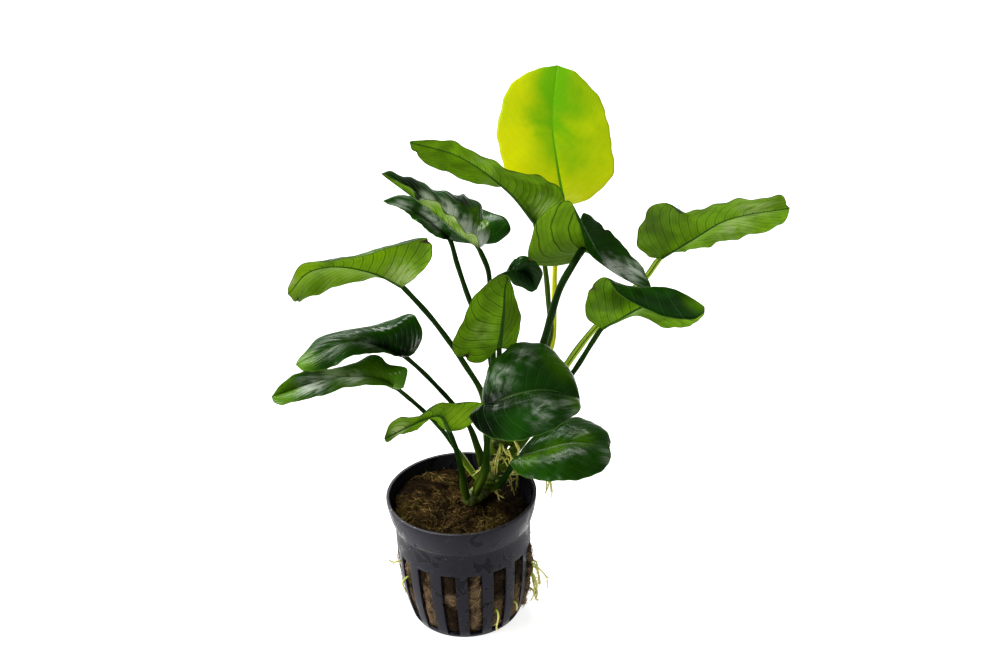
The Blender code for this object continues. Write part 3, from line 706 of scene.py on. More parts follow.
def blade_surface(index, leaf, settings):
    """The middle surface of a blade with its ruffles, and the masks that its finish reads."""
    rows, columns = settings.rows, settings.columns
    shares = np.linspace(0.0, 1.0, rows)
    sides = np.linspace(-1.0, 1.0, 2 * columns + 1)
    rib, halves = blade_rails(leaf, shares)
    phase = 1.7 * index
    places = np.zeros((rows, len(sides), 3))
    bites = np.zeros((rows, len(sides)))
    for key, side in HALVES:
        margin, crest = halves[key]
        back, nibbled = fray(leaf, shares, side, phase)
        margin = margin - unit(margin - rib) * back[:, None]
        handle = 2 * crest - (rib + margin) / 2
        chosen = sides * side >= 0
        reach = np.abs(sides[chosen])[None, :, None]
        places[:, chosen] = (
            (1 - reach) ** 2 * rib[:, None]
            + 2 * reach * (1 - reach) * handle[:, None]
            + reach**2 * margin[:, None]
        )
        bites[:, chosen] = nibbled[:, None] * np.abs(sides[chosen])[None, :] ** 8

    reach = np.abs(sides)[None, :]
    share = shares[:, None]
    fade = np.sin(np.pi * share) ** 0.5
    turn = phase + 1.9 * (sides[None, :] > 0)
    waves = leaf.get("waves", 3.2)
    ruffle = np.sin(2 * np.pi * waves * share + turn)
    ruffle = ruffle + 0.45 * np.sin(2 * np.pi * 1.9 * waves * share + 2.3 * turn)
    lift = leaf.get("ruffle", 0.55) * ruffle * reach**2.6 * fade

    count = line_length(rib) * MM / settings.vein_pitch
    drift = 0.10 * np.sin(7 * reach + 3 * turn) + 0.07 * np.sin(19 * share + phase)
    veins = count * (share - leaf.get("sweep", 0.26) * reach**1.4) + drift
    spread = smooth_step(reach, 0.03, 0.3) * (1 - smooth_step(reach, 0.86, 1.0))
    lift = lift - 0.4 * leaf.get("quilt", 0.10) * np.cos(2 * np.pi * veins) * spread * fade
    return places + surface_normals(places) * lift[..., None], veins, bites


def surface_normals(places):
    """Unit normals of a grid of places; they point out of the upper side."""
    normals = np.cross(np.gradient(places, axis=1), np.gradient(places, axis=0))
    for end, inner in ((0, 2), (1, 2), (-1, -3), (-2, -3)):
        normals[end] = normals[inner].mean(axis=0)
    return unit(normals)


def grid_faces(rows, columns, start, flip):
    faces = []
    for row in range(rows - 1):
        for column in range(columns - 1):
            a = start + row * columns + column
            face = [a, a + 1, a + columns + 1, a + columns]
            faces.append(face[::-1] if flip else face)
    return faces


def rim_faces(rows, columns, under):
    """The narrow strip that joins the two skins along both margins."""
    faces = []
    for row in range(rows - 1):
        for column, flip in ((0, False), (columns - 1, True)):
            a = row * columns + column
            face = [a, a + columns, under + a + columns, under + a]
            faces.append(face[::-1] if flip else face)
    return faces


def patch(places, side, spot, radius, core):
    """1 within a share of the radius from a spot on a blade, and 0 past the radius."""
    rows, columns = places.shape[:2]
    row = int(round(spot * (rows - 1)))
    column = int(round((side + 1) / 2 * (columns - 1)))
    away = np.linalg.norm(places - places[row, column], axis=2)
    return 1 - smooth_step(away, core * radius, radius)


def store_twice(mesh, name, values):
    """Stores a mask for the upper skin and again for the under skin."""
    store(mesh, name, np.concatenate([values, values]))


def build_blade(index, name, leaf, settings):
    """A blade with an upper skin, an under skin with a raised midrib, and a thin margin."""
    places, veins, bites = blade_surface(index, leaf, settings)
    rows, columns = veins.shape
    middle = columns // 2
    from_rib = np.linalg.norm(places - places[:, middle:middle + 1], axis=2)
    steps = np.linalg.norm(np.diff(places, axis=1), axis=2)
    left_run = np.concatenate([np.zeros((rows, 1)), np.cumsum(steps, axis=1)], axis=1)
    to_edge = np.minimum(left_run, left_run[:, -1:] - left_run)

    normals = surface_normals(places)
    share = np.linspace(0.0, 1.0, rows)[:, None]
    half = settings.thickness / MM / 2
    skin = half * (0.45 + 0.55 * smooth_step(to_edge, 0.0, 1.6))
    rib_width = 0.95 * (1.0 - 0.75 * share)
    keel = leaf.get("keel", 0.75) * (1.0 - 0.8 * share) * np.exp(-((from_rib / rib_width) ** 2))
    groove = 0.22 * (1.0 - 0.6 * share) * np.exp(-((from_rib / (0.8 * rib_width)) ** 2))
    upper = places + normals * (skin - groove)[..., None]
    under = places - normals * (skin + keel)[..., None]

    size = rows * columns
    faces = grid_faces(rows, columns, 0, False)
    upper_faces = len(faces)
    faces += grid_faces(rows, columns, size, True) + rim_faces(rows, columns, size)
    points = np.concatenate([upper.reshape(-1, 3), under.reshape(-1, 3)])
    mesh = fill_mesh(name, from_crown(points), faces)
    under_slot = [0] * upper_faces + [1] * (len(faces) - upper_faces)
    mesh.polygons.foreach_set("material_index", under_slot)

    lay = np.stack([from_rib / rib_width, to_edge, veins], axis=2).reshape(-1, 3)
    store_twice(mesh, "lay", lay)
    wear = smooth_step(bites, 0.15, 0.7)
    for side, spot, radius in leaf.get("scars", ()):
        wear = np.maximum(wear, patch(places, side, spot, radius, 0.3))
    store_twice(mesh, "wear", wear.ravel())
    store_twice(mesh, "run", np.repeat(share.ravel(), columns))
    store(mesh, "tone", np.full(2 * size, leaf.get("tone", 0.5)))
    for kind in MARKS:
        mask = np.zeros((rows, columns))
        for kind_here, side, spot, radius, strength in leaf.get("marks", ()):
            if kind_here == kind:
                mask = np.maximum(mask, strength * patch(places, side, spot, radius, 0.1))
        store_twice(mesh, kind, mask.ravel())
    merge_points(mesh)
    return mesh


# Finishes of the leaves

def vein_group():
    """Side veins, midrib and margin lines from the lay of the blade."""
    group, wiring, entry, leave = new_group(
        "leaf_veins", "ShaderNodeTree", [("Lay", "Vector", None), ("Vein width", "Float", 0.1)],
        [(label, "Float") for label in ("Veins", "Fine veins", "Midrib", "Margin", "Quilt")])
    parts = wiring.split(entry["Lay"])
    shiver = wiring.swing(wiring.noise(wiring.object_place(), 260.0, 2.0), 0.22)
    phase = wiring.plus(parts["Z"], shiver)

    def lines(share, width):
        part = wiring.math("FRACT", wiring.plus(share, 0.5))
        away = wiring.math("ABSOLUTE", wiring.minus(part, 0.5))
        return wiring.ramp(wiring.math("DIVIDE", away, width), 1.0, 0.0)

    wiring.send(leave, {
        "Veins": lines(phase, entry["Vein width"]),
        "Fine veins": lines(wiring.times(phase, 3.0), 0.2),
        "Midrib": wiring.ramp(parts["X"], 0.9, 0.35),
        "Margin": wiring.ramp(parts["Y"], 0.32, 0.1),
        "Quilt": wiring.cosine(phase),
    })
    return group


def skin_group():
    """Mottled colour and fine relief of living leaf skin."""
    group, wiring, entry, leave = new_group(
        "leaf_skin", "ShaderNodeTree",
        [("Dark", "Color", None), ("Light", "Color", None), ("Blotch scale", "Float", 90.0)],
        [("Color", "Color"), ("Relief", "Float"), ("Sheen spots", "Float")])
    place = wiring.object_place()
    blotch = wiring.noise(place, entry["Blotch scale"], 4.0, 0.5, 0.6)
    fine = wiring.noise(place, 1500.0, 2.0)
    share = wiring.plus(wiring.ramp(blotch, 0.34, 0.68), wiring.swing(fine, 0.25), clamp=True)
    cells = wiring.add("ShaderNodeTexVoronoi", {"Vector": place, "Scale": 2600.0}).outputs[0]
    wiring.send(leave, {
        "Color": wiring.mix(share, entry["Dark"], entry["Light"]),
        "Relief": wiring.scaled(cells, 0.4, fine),
        "Sheen spots": wiring.ramp(wiring.noise(place, 210.0, 3.0), 0.42, 0.62),
    })
    return group


def shade(color, share):
    """A colour made darker, or paler above one."""
    return tuple(min(part * share, 1.0) for part in color)


def leaf_marks(wiring, base, lay, looks):
    """Lays lime, painted-shade and streaked painted-highlight patches over a leaf's colour; the lime is
    partly painted light shining through the blade.
    """
    parts = wiring.split(lay)
    fan = wiring.vector(wiring.times(parts["Z"], 0.95), wiring.times(parts["X"], 0.16))
    streaks = wiring.noise(fan, 1.0, 4.0, 0.6, 0.4)
    ragged = wiring.swing(wiring.noise(wiring.object_place(), 170.0, 4.0, 0.6), 0.9)
    # lime patches are partly the blade's paler yellow-green and partly painted light shining through it;
    # the near-black patches are painted shade
    for kind in ("lime", "painted_shade"):
        mask = wiring.attribute(kind)
        edge = wiring.plus(mask, wiring.times(ragged, mask), clamp=True)
        base = wiring.mix(edge, base, looks[kind])
    # pale streaked patches: painted highlights that stand in for reflections of the light
    painted_highlight = wiring.attribute("painted_highlight")
    level = wiring.plus(streaks, wiring.times(painted_highlight, 0.28))
    return wiring.mix(wiring.times(wiring.ramp(level, 0.42, 0.80), painted_highlight), base, looks["painted_highlight"])


WORN_BROWN = (0.035, 0.022, 0.008)


def leaf_material(name, dark, light, vein, midrib, margin, groups, looks):
    """One side of a leaf: skin, then tone, marks, veins, midrib, margin and wear; the colour is also given
    off as a painted glow.
    """
    material, wiring, shader = new_material(name)
    lay = wiring.attribute("lay", "Vector")
    lines = wiring.add("ShaderNodeGroup", {"Lay": lay, "Vein width": looks["vein_width"]},
                       node_tree=groups["veins"]).outputs
    skin = wiring.add("ShaderNodeGroup",
                      {"Dark": dark, "Light": light, "Blotch scale": looks["blotch"]},
                      node_tree=groups["skin"]).outputs
    base = wiring.mix(wiring.times(wiring.attribute("tone"), looks["tone_share"]),
                      skin["Color"], looks["tone_color"])
    color = wiring.coats(
        leaf_marks(wiring, base, lay, looks),
        (wiring.times(lines["Veins"], looks["vein_share"]), vein),
        (wiring.times(lines["Fine veins"], 0.35 * looks["vein_share"]), vein),
        (wiring.times(lines["Midrib"], looks["midrib_share"]), midrib),
        (wiring.times(lines["Margin"], 0.7), margin),
        (wiring.attribute("wear"), WORN_BROWN))
    sheen = wiring.ramp(skin["Sheen spots"], 0.0, 1.0)
    height = wiring.plus(wiring.times(skin["Relief"], 0.12),
                         wiring.times(lines["Veins"], looks["vein_relief"]))
    height = wiring.plus(height, wiring.times(lines["Quilt"], looks["quilt_relief"]))
    wiring.send(shader, {
        # painted light: the blade gives off its own colour, so it shines without a lamp
        "Base Color": color, "Emission Color": color, "Emission Strength": looks["glow"],
        "Roughness": wiring.scaled(sheen, looks["rough"] - looks["rough_low"], looks["rough_low"]),
        "Normal": wiring.bump(height, 0.0001, looks["relief"]),
        "Specular IOR Level": looks["gloss"],
        "Coat Weight": looks["coat"], "Coat Roughness": 0.12,
    })
    return material


def yellow_patches(material):
    """Green patches that spread from the midrib of the ageing leaf."""
    wiring = Wiring(material.node_tree)
    shader = material.node_tree.nodes["Principled BSDF"]
    plain_color = shader.inputs["Base Color"].links[0].from_socket
    lay = wiring.split(wiring.attribute("lay", "Vector"))
    cloud = wiring.noise(wiring.object_place(), 48.0, 3.0, 0.5, 0.8)
    near_rib = wiring.ramp(lay["X"], 26.0, 0.0, smooth=False)
    towards_tip = wiring.ramp(wiring.attribute("run"), 0.05, 0.75)
    green = wiring.ramp(wiring.times(wiring.plus(near_rib, towards_tip), cloud), 0.28, 0.95)
    color = wiring.mix(wiring.times(green, 0.92), plain_color, (0.13, 0.38, 0.0010))
    # the ageing leaf's glow carries its green patches too: painted light
    wiring.send(shader, {"Base Color": color, "Emission Color": color})
    return material


UPPER_LOOKS = {
    "rough": 0.42, "rough_low": 0.20, "vein_width": 0.10, "vein_share": 0.35,
    "midrib_share": 0.75, "relief": 0.7, "vein_relief": -0.35, "quilt_relief": -0.15,
    "gloss": 0.09, "coat": 0.11, "glow": 0.0, "blotch": 95.0,
    "tone_share": 0.5, "tone_color": (0.035, 0.120, 0.004),
    # patch colours: the lime one is partly painted light through the blade, the near-black one is painted
    # shade
    "lime": (0.110, 0.240, 0.005), "painted_shade": (0.0006, 0.0022, 0.0005),
    # colour of the painted highlights
    "painted_highlight": (0.72, 0.77, 0.68),
}
UNDER_LOOKS = {
    "rough": 0.55, "rough_low": 0.42, "vein_width": 0.07, "vein_share": 0.8,
    "midrib_share": 0.85, "relief": 0.6, "vein_relief": 0.9, "quilt_relief": 0.3,
    # the under side gives off a faint painted glow
    "gloss": 0.10, "coat": 0.0, "glow": 0.04, "blotch": 120.0,
    "tone_share": 0.55, "tone_color": (0.19, 0.34, 0.010),
    # patch colours of the under side: lime is partly painted light through the blade, the near-black one
    # painted shade and the pale one a painted highlight
    "lime": (0.31, 0.50, 0.006), "painted_shade": (0.020, 0.055, 0.003), "painted_highlight": (0.42, 0.55, 0.20),
}
# The ageing leaf gives off a stronger painted glow, painted light that makes it shine as if lit from
# behind; its pale patches are painted highlights.
YELLOW_LOOKS = dict(
    UNDER_LOOKS, vein_share=0.3, midrib_share=1.0, gloss=0.16, coat=0.05, rough_low=0.3,
    tone_share=0.0, blotch=40.0, glow=0.27, lime=(0.13, 0.33, 0.001), painted_highlight=(0.80, 0.86, 0.10))


def leaf_materials(settings):
    groups = {"veins": vein_group(), "skin": skin_group()}
    upper, under, yellow = settings.upper, settings.under, settings.yellow
    return {
        "upper": leaf_material(
            "leaf_upper", shade(upper, 0.55), shade(upper, 1.35), (0.03, 0.11, 0.012),
            (0.10, 0.16, 0.05), (0.10, 0.20, 0.02), groups, UPPER_LOOKS),
        "under": leaf_material(
            "leaf_under", shade(under, 0.66), shade(under, 1.22), shade(under, 0.20),
            (0.012, 0.055, 0.006), (0.05, 0.09, 0.01), groups, UNDER_LOOKS),
        "yellow": yellow_patches(leaf_material(
            "leaf_ageing", shade(yellow, 0.85), yellow, (0.45, 0.55, 0.002),
            (0.06, 0.24, 0.002), (0.16, 0.20, 0.004), groups, YELLOW_LOOKS)),
    }


class ANUBIAS_OT_leaves(bpy.types.Operator):
    """Build the fourteen leaf blades with their veins, ruffles and nibbled margins."""

    bl_idname = "anubias.leaves"
    bl_label = "Leaf blades"

    def execute(self, context):
        settings = context.scene.anubias_plant
        finishes = leaf_materials(settings)
        for index, (name, leaf) in enumerate(LEAVES.items()):
            mesh = build_blade(index, name, leaf, settings)
            ageing = name == "leaf_01"
            for side in ("upper", "under"):
                mesh.materials.append(finishes["yellow" if ageing else side])
            place_piece(name + "_blade", mesh, [name], "leaves")
        return {"FINISHED"}


# Stalks, rhizome and roots

def tube_tree():
    """Sweeps a round section along a path; a ridge can stand up along two lines of it."""
    group, wiring, entry, leave = new_group(
        "tube_along_path", "GeometryNodeTree",
        [("Path", "Geometry", None), ("Sides", "Int", 14), ("Ridge turn", "Float", 0.12),
         ("Material", "Material", None)],
        [("Mesh", "Geometry")])
    line = wiring.add("GeometryNodeMeshToCurve", {"Mesh": entry["Path"]}).outputs["Curve"]
    run = wiring.add("GeometryNodeSplineParameter").outputs["Factor"]
    line = wiring.store(line, "run", run)
    thick = wiring.stored("thick")
    ring = wiring.add("GeometryNodeCurvePrimitiveCircle",
                      {"Resolution": entry["Sides"], "Radius": 1.0}).outputs["Curve"]
    ring = wiring.store(ring, "turn", run)
    tube = wiring.add("GeometryNodeCurveToMesh", {
        "Curve": line, "Profile Curve": ring, "Scale": thick, "Fill Caps": True}).outputs["Mesh"]
    turn, wing = wiring.stored("turn"), wiring.stored("wing")
    lobes = 0.0
    for sign in ("ADD", "SUBTRACT"):
        facing = wiring.cosine(wiring.math(sign, turn, entry["Ridge turn"]))
        lobe = wiring.math("POWER", wiring.math("MAXIMUM", facing, 0.0), 9.0)
        lobes = wiring.plus(lobe, lobes)
    normal = wiring.add("GeometryNodeInputNormal").outputs["Normal"]
    offset = wiring.add("ShaderNodeVectorMath", {0: normal, "Scale": wiring.times(lobes, wing)},
                        operation="SCALE").outputs["Vector"]
    tube = wiring.add("GeometryNodeSetPosition", {"Geometry": tube, "Offset": offset})
    finish_tree(wiring, tube.outputs["Geometry"], entry, leave)
    return group


def path_mesh(name, lines):
    """Paths as edges. Each line is (points, radii, wings), all in millimetres."""
    points, edges, thick, wing = [], [], [], []
    for line, radii, wings in lines:
        start = len(points)
        points.extend(line)
        edges.extend((start + i, start + i + 1) for i in range(len(line) - 1))
        thick.extend(radii)
        wing.extend(wings)
    mesh = bpy.data.meshes.new(name)
    mesh.from_pydata([tuple(p) for p in np.asarray(points) * MM], edges, [])
    store(mesh, "thick", np.asarray(thick) * MM)
    store(mesh, "wing", np.asarray(wing) * MM)
    return mesh


def rhizome_radius(share):
    return RHIZOME_RADIUS * (1.0 - 0.35 * np.abs(2 * share - 1.0) ** 4)


def rooted_start(grip, target, sunk):
    """Where a stalk or root leaves the rhizome towards a target, and its direction there."""
    middle = along(RHIZOME_LINE, grip)[0]
    line = direction_along(RHIZOME_LINE, grip)[0]
    aim = np.array(target, float) - middle
    outward = unit(aim - line * np.dot(aim, line))
    return middle + outward * (rhizome_radius(grip) - sunk), outward


def stalk_line(leaf, swell):
    """A stalk's points, radii and wings from inside the rhizome into the foot of the midrib."""
    start, outward = rooted_start(leaf["grip"], leaf["stem"][0], 0.8)
    base = np.array(leaf["rib"][0], float)
    ahead = along(leaf["rib"], 0.05)[0]
    route = [start, start + outward * 2.3] + [np.array(p, float) for p in leaf["stem"]]
    route += [base - unit(base - route[-1]) * 1.2, base + unit(ahead - base) * 1.6]
    shares = np.linspace(0.0, 1.0, 90) ** 1.2
    girth = leaf.get("girth", 1.0) * swell
    radii = girth * (1.0 + 0.42 * (1.0 - shares) ** 2.4)
    radii = radii * (1.0 + 0.05 * np.sin(2 * np.pi * 6 * shares + leaf["grip"] * 20))
    radii = radii * (1.0 - 0.45 * smooth_step(shares, 0.965, 1.0))
    wings = SHEATH_RISE * smooth_step(shares, 0.02, 0.10)
    wings = wings * (1 - smooth_step(shares, 0.5 * SHEATH_REACH, SHEATH_REACH))
    return from_crown(along(route, shares)), radii, wings


def stalk_material(name, color, sheath, paleness, blush):
    """Fleshy stalk: pale at its sheathed foot, streaked along its length."""
    material, wiring, shader = new_material(name)
    run, turn = wiring.attribute("run"), wiring.attribute("turn")
    lines = wiring.vector(wiring.times(turn, 26.0), wiring.times(run, 3.0))
    streaks = wiring.noise(lines, 1.0, 4.0, 0.6)
    cloud = wiring.noise(wiring.object_place(), 130.0, 3.0)
    share = wiring.ramp(wiring.plus(streaks, wiring.times(cloud, 0.4)), 0.5, 0.95)
    base = wiring.mix(share, shade(color, 0.55), shade(color, 1.55))
    foot = wiring.ramp(wiring.plus(run, wiring.swing(cloud, 0.3)), 0.42, 0.02)
    side = wiring.ramp(wiring.cosine(turn), -0.3, 0.9)
    pale = wiring.times(wiring.times(foot, wiring.scaled(side, 0.6, 0.4)), paleness)
    stripe = wiring.times(wiring.ramp(side, 0.5, 0.8), blush)
    wiring.send(shader, {
        "Base Color": wiring.coats(base, (pale, sheath), (stripe, sheath)),
        "Roughness": wiring.scaled(cloud, 0.2, 0.28),
        "Normal": wiring.bump(streaks, 0.00015, 0.5),
        "Specular IOR Level": 0.06,
    })
    return material


class ANUBIAS_OT_stalks(bpy.types.Operator):
    """Build the leaf stalks, each with a winged sheath at its foot."""

    bl_idname = "anubias.stalks"
    bl_label = "Stalks"

    def execute(self, context):
        settings = context.scene.anubias_plant
        tree = tube_tree()
        stalk, sheath = settings.stalk, settings.sheath
        green = stalk_material("stalk_skin", stalk, sheath, 0.22, 0.0)
        sheathed = stalk_material("stalk_skin_sheathed", shade(stalk, 1.5), sheath, 1.7, 0.15)
        pale = stalk_material("stalk_skin_pale", shade(stalk, 2.2), sheath, 0.9, 0.9)
        yellow = stalk_material(
            "stalk_skin_ageing", (0.60, 0.62, 0.01), (0.70, 0.72, 0.04), 0.6, 0.4)
        skins = {"leaf_01": yellow, "leaf_04": pale, "leaf_02": sheathed, "leaf_06": sheathed,
                 "leaf_07": sheathed, "leaf_11": sheathed}
        for name, leaf in LEAVES.items():
            stem = name.replace("leaf", "stem")
            path = path_mesh(stem + "_path", [stalk_line(leaf, settings.stalk_swell)])
            mesh = grow(stem, path, tree, {"Sides": 18, "Material": skins.get(name, green)})
            place_piece(stem + "_stalk", mesh, [stem], "stalks")
        return {"FINISHED"}


def rhizome_material():
    """Olive bark with darker leaf-scar rings and paler growth."""
    material, wiring, shader = new_material("rhizome_bark")
    run = wiring.attribute("run")
    cloud = wiring.noise(wiring.object_place(), 240.0, 5.0, 0.6, 0.5)
    part = wiring.math("FRACT", wiring.plus(wiring.times(run, 11.0), wiring.times(cloud, 0.5)))
    ring = wiring.ramp(wiring.math("ABSOLUTE", wiring.minus(part, 0.5)), 0.1, 0.0)
    base = wiring.mix(wiring.ramp(cloud, 0.35, 0.7), (0.05, 0.075, 0.012), (0.22, 0.27, 0.05))
    wiring.send(shader, {
        "Base Color": wiring.coats(base, (wiring.times(ring, 0.75), (0.05, 0.035, 0.012)),
                                   (wiring.ramp(run, 0.75, 1.0), (0.25, 0.36, 0.05))),
        "Roughness": wiring.scaled(cloud, 0.3, 0.4),
        "Normal": wiring.bump(wiring.minus(cloud, wiring.times(ring, 0.6)), 0.0004, 0.8),
    })
    return material


def roughen(mesh, height, scale, seed):
    """Pushes each point in or out along its normal by smooth noise; height in millimetres."""
    offset = Vector((seed, 2.3 * seed, 0.7 * seed))
    moves = []
    for vertex in mesh.vertices:
        swell = noise.fractal(vertex.co * scale + offset, 0.9, 2.1, 3)
        moves.append(vertex.co + vertex.normal * swell * height * MM)
    for vertex, place in zip(mesh.vertices, moves):
        vertex.co = place
    mesh.update()


class ANUBIAS_OT_rhizome(bpy.types.Operator):
    """Build the creeping rhizome with its ringed, knotty bark."""

    bl_idname = "anubias.rhizome"
    bl_label = "Rhizome"

    def execute(self, context):
        shares = np.linspace(0.0, 1.0, 120)
        points = from_crown(along(RHIZOME_LINE, shares))
        from_end = np.maximum(0.06 - np.minimum(shares, 1 - shares), 0) / 0.06
        blunt = np.sqrt(np.clip(1 - from_end**2, 0.003, 1))
        knots = 1.0 + 0.10 * np.abs(np.sin(np.pi * 11 * shares)) + 0.04 * np.sin(41 * shares)
        radii = rhizome_radius(shares) * knots * blunt * 0.97
        path = path_mesh("rhizome_path", [(points, radii, np.zeros(len(shares)))])
        mesh = grow("rhizome", path, tube_tree(), {"Sides": 28, "Material": rhizome_material()})
        roughen(mesh, RHIZOME_BARK, 420.0, 11)
        place_piece("rhizome_stem", mesh, ["rhizome"], "rhizome")
        return {"FINISHED"}


def slot_bearing(index):
    return SLOT_TURN + index * 360.0 / SLOT_COUNT


def root_routes():
    """Each root's route in millimetres from the middle of the pot's foot."""
    routes = {}
    for name, root in HANGING_ROOTS.items():
        start, outward = rooted_start(root["grip"], root["points"][0], 0.3)
        line = [start, start + outward * 1.6] + [np.array(p, float) for p in root["points"]]
        routes[name] = [from_crown(point) for point in line]
    for name, root in RIM_ROOTS.items():
        over = [around(root["bearing"], RIM_RADIUS + past, RIM + rise)
                for past, rise in root["points"]]
        start, outward = rooted_start(root["grip"], over[0] - from_crown((0, 0, 0)), 0.3)
        routes[name] = [from_crown(start), from_crown(start + outward * 1.6)] + over
    for name, root in SLOT_ROOTS.items():
        bearing = slot_bearing(root["slot"]) + root["bearing"]
        line = [around(bearing, body_radius(root["height"]) - 1.6, root["height"])]
        line += [around(bearing, body_radius(rise) + past, rise) for past, rise in root["points"]]
        routes[name] = line
    return routes


def root_lines(route, radius, chance):
    """A wavy root that thins to its tip, with a few side rootlets."""
    shares = np.linspace(0.0, 1.0, 46)
    points = along(route, shares)
    phase = chance.uniform(0.0, 6.0, 3)
    wave = 0.16 * np.sin(2 * np.pi * 1.7 * shares[:, None] + phase) * shares[:, None] ** 0.6
    points = points + wave
    points[:, 2] = np.maximum(points[:, 2], ROOT_LOWEST)
    radii = radius * (1.0 - 0.45 * shares) * (1 - 0.8 * smooth_step(shares, 0.93, 1.0))
    lines = [(points, radii, np.zeros(len(shares)))]
    steps = np.linspace(0.0, 1.0, TWIG_POINTS)
    for _ in range(int(line_length(points) / TWIG_SPACING)):
        at = int(chance.uniform(0.3, 0.85) * (len(shares) - 1))
        heading = unit(points[min(at + 2, len(points) - 1)] - points[at - 2])
        side = unit(np.cross(heading, chance.normal(size=3)))
        tip = points[at] + side * chance.uniform(1.2, 2.4) + heading * chance.uniform(0.5, 2.0)
        tip[2] = max(tip[2], ROOT_LOWEST)
        bend = (points[at] + tip) / 2 + heading * 0.5
        twig = along([points[at], bend, tip], steps)
        thin = radii[at] * 0.55 * (1.0 - 0.6 * steps)
        lines.append((twig, thin, np.zeros(TWIG_POINTS)))
    return lines


def root_material(settings):
    """Waxy young root: cream, greener towards the rhizome, pale at the tip."""
    material, wiring, shader = new_material("root_skin")
    run = wiring.attribute("run")
    cloud = wiring.noise(wiring.object_place(), 330.0, 3.0)
    base = wiring.mix(wiring.ramp(cloud, 0.35, 0.65), shade(settings.root, 0.72), settings.root)
    wiring.send(shader, {
        "Base Color": wiring.coats(base, (wiring.ramp(run, 0.55, 0.0), (0.36, 0.47, 0.045)),
                                   (wiring.ramp(run, 0.85, 1.0), (0.80, 0.76, 0.42))),
        "Roughness": wiring.scaled(cloud, 0.25, 0.35),
        "Normal": wiring.bump(cloud, 0.0001, 0.5),
    })
    return material


class ANUBIAS_OT_roots(bpy.types.Operator):
    """Build the aerial roots, with their side rootlets."""

    bl_idname = "anubias.roots"
    bl_label = "Roots"

    def execute(self, context):
        settings = context.scene.anubias_plant
        tree = tube_tree()
        skin = root_material(settings)
        chance = np.random.default_rng(5)
        for name, route in root_routes().items():
            lines = root_lines(route, settings.root_radius / MM, chance)
            for _ in range(COMPANIONS.get(name, 1)):
                shifts = chance.normal(scale=1.1, size=(len(route) - 1, 3))
                beside = [route[0]] + [p + s for p, s in zip(route[1:], shifts)]
                lines += root_lines(beside, 0.8 * settings.root_radius / MM, chance)
            mesh = grow(name, path_mesh(name + "_path", lines), tree,
                        {"Sides": 8, "Material": skin})
            place_piece(name + "_strand", mesh, [name], "roots")
        return {"FINISHED"}


# Pot

def body_radius(height):
    """Outer radius of the slotted wall, which draws in towards the foot."""
    drop = 1.0 - height / COLLAR_FOOT
    return RIM_RADIUS - COLLAR_TAPER - COLLAR_STEP - BODY_TAPER * drop**3


def collar_radius(height):
    rise = (height - COLLAR_FOOT) / COLLAR_HEIGHT
    return RIM_RADIUS - COLLAR_TAPER * max(0.0, 1.0 - rise) ** 1.6


def wall_section():
    """The outside of the pot as (radius, height), from the rim down and in to the foot's middle."""
    collar = [(collar_radius(h), h) for h in np.linspace(RIM, COLLAR_FOOT, 9)]
    below = COLLAR_FOOT - COLLAR_STEP
    heights = np.concatenate([
        [below], np.linspace(below, SLOT_TOP, 6)[1:],
        np.linspace(SLOT_TOP, SLOT_ABOVE_FOOT, 16)[1:]])
    body = [(body_radius(h), h) for h in heights]
    foot = body_radius(0.0)
    curl = [(foot - 0.06, 1.1), (foot - 0.25, 0.4), (foot - 0.9, 0.0)]
    base = [(foot * share, 0.0) for share in (0.8, 0.6, 0.4, 0.2)]
    return collar + body + curl + base


def wall_bearings(per_rib):
    """Bearings of the wall's columns, with a column on each side of every slot."""
    bearings = []
    for index in range(SLOT_COUNT):
        start = slot_bearing(index) - SLOT_ANGLE / 2
        middle = start + SLOT_ANGLE
        end = middle + 360.0 / SLOT_COUNT - SLOT_ANGLE
        bearings.extend(np.linspace(start, middle, per_rib, endpoint=False))
        bearings.extend(np.linspace(middle, end, per_rib, endpoint=False))
    return np.radians(bearings)


def wall_mesh(per_rib):
    """The pot's outer skin as an open surface, with its slots left out."""
    section = wall_section()
    bearings = wall_bearings(per_rib)
    count = len(bearings)
    points = [(r * math.cos(b), r * math.sin(b), z) for r, z in section for b in bearings]
    points.append((0.0, 0.0, 0.0))

    def in_slot(row, column):
        middle = (section[row][1] + section[row + 1][1]) / 2
        return SLOT_ABOVE_FOOT < middle < SLOT_TOP and column % (2 * per_rib) < per_rib

    faces = ring_faces(len(section), count, in_slot)
    last = (len(section) - 1) * count
    for column in range(count):
        faces.append([last + column, len(points) - 1, last + (column + 1) % count])
    return fill_mesh("pot_wall", points, faces)


def drain_cutter():
    """A ring of round holes through the floor."""
    draft = bmesh.new()
    for index in range(DRAIN_COUNT):
        angle = TURN * index / DRAIN_COUNT
        spot = Vector((math.cos(angle), math.sin(angle), 0.0)) * DRAIN_CIRCLE * MM
        bmesh.ops.create_cone(draft, cap_ends=True, segments=32, radius1=DRAIN_RADIUS * MM,
                              radius2=DRAIN_RADIUS * MM, depth=4 * FLOOR * MM,
                              matrix=Matrix.Translation(spot))
    mesh = bpy.data.meshes.new("drains")
    draft.to_mesh(mesh)
    draft.free()
    return link("drains", mesh)


def is_inside(place):
    """Whether a place on the pot is on its lip or its inner face."""
    height = place.z / MM
    radius = math.hypot(place.x, place.y) / MM
    outer = collar_radius(height) if height > COLLAR_FOOT - COLLAR_STEP else body_radius(height)
    return radius < outer - LIP_DEPTH and height > FLOOR / 2


def add_modifier(holder, name, kind, **settings):
    modifier = holder.modifiers.new(name, kind)
    for key, value in settings.items():
        setattr(modifier, key, value)


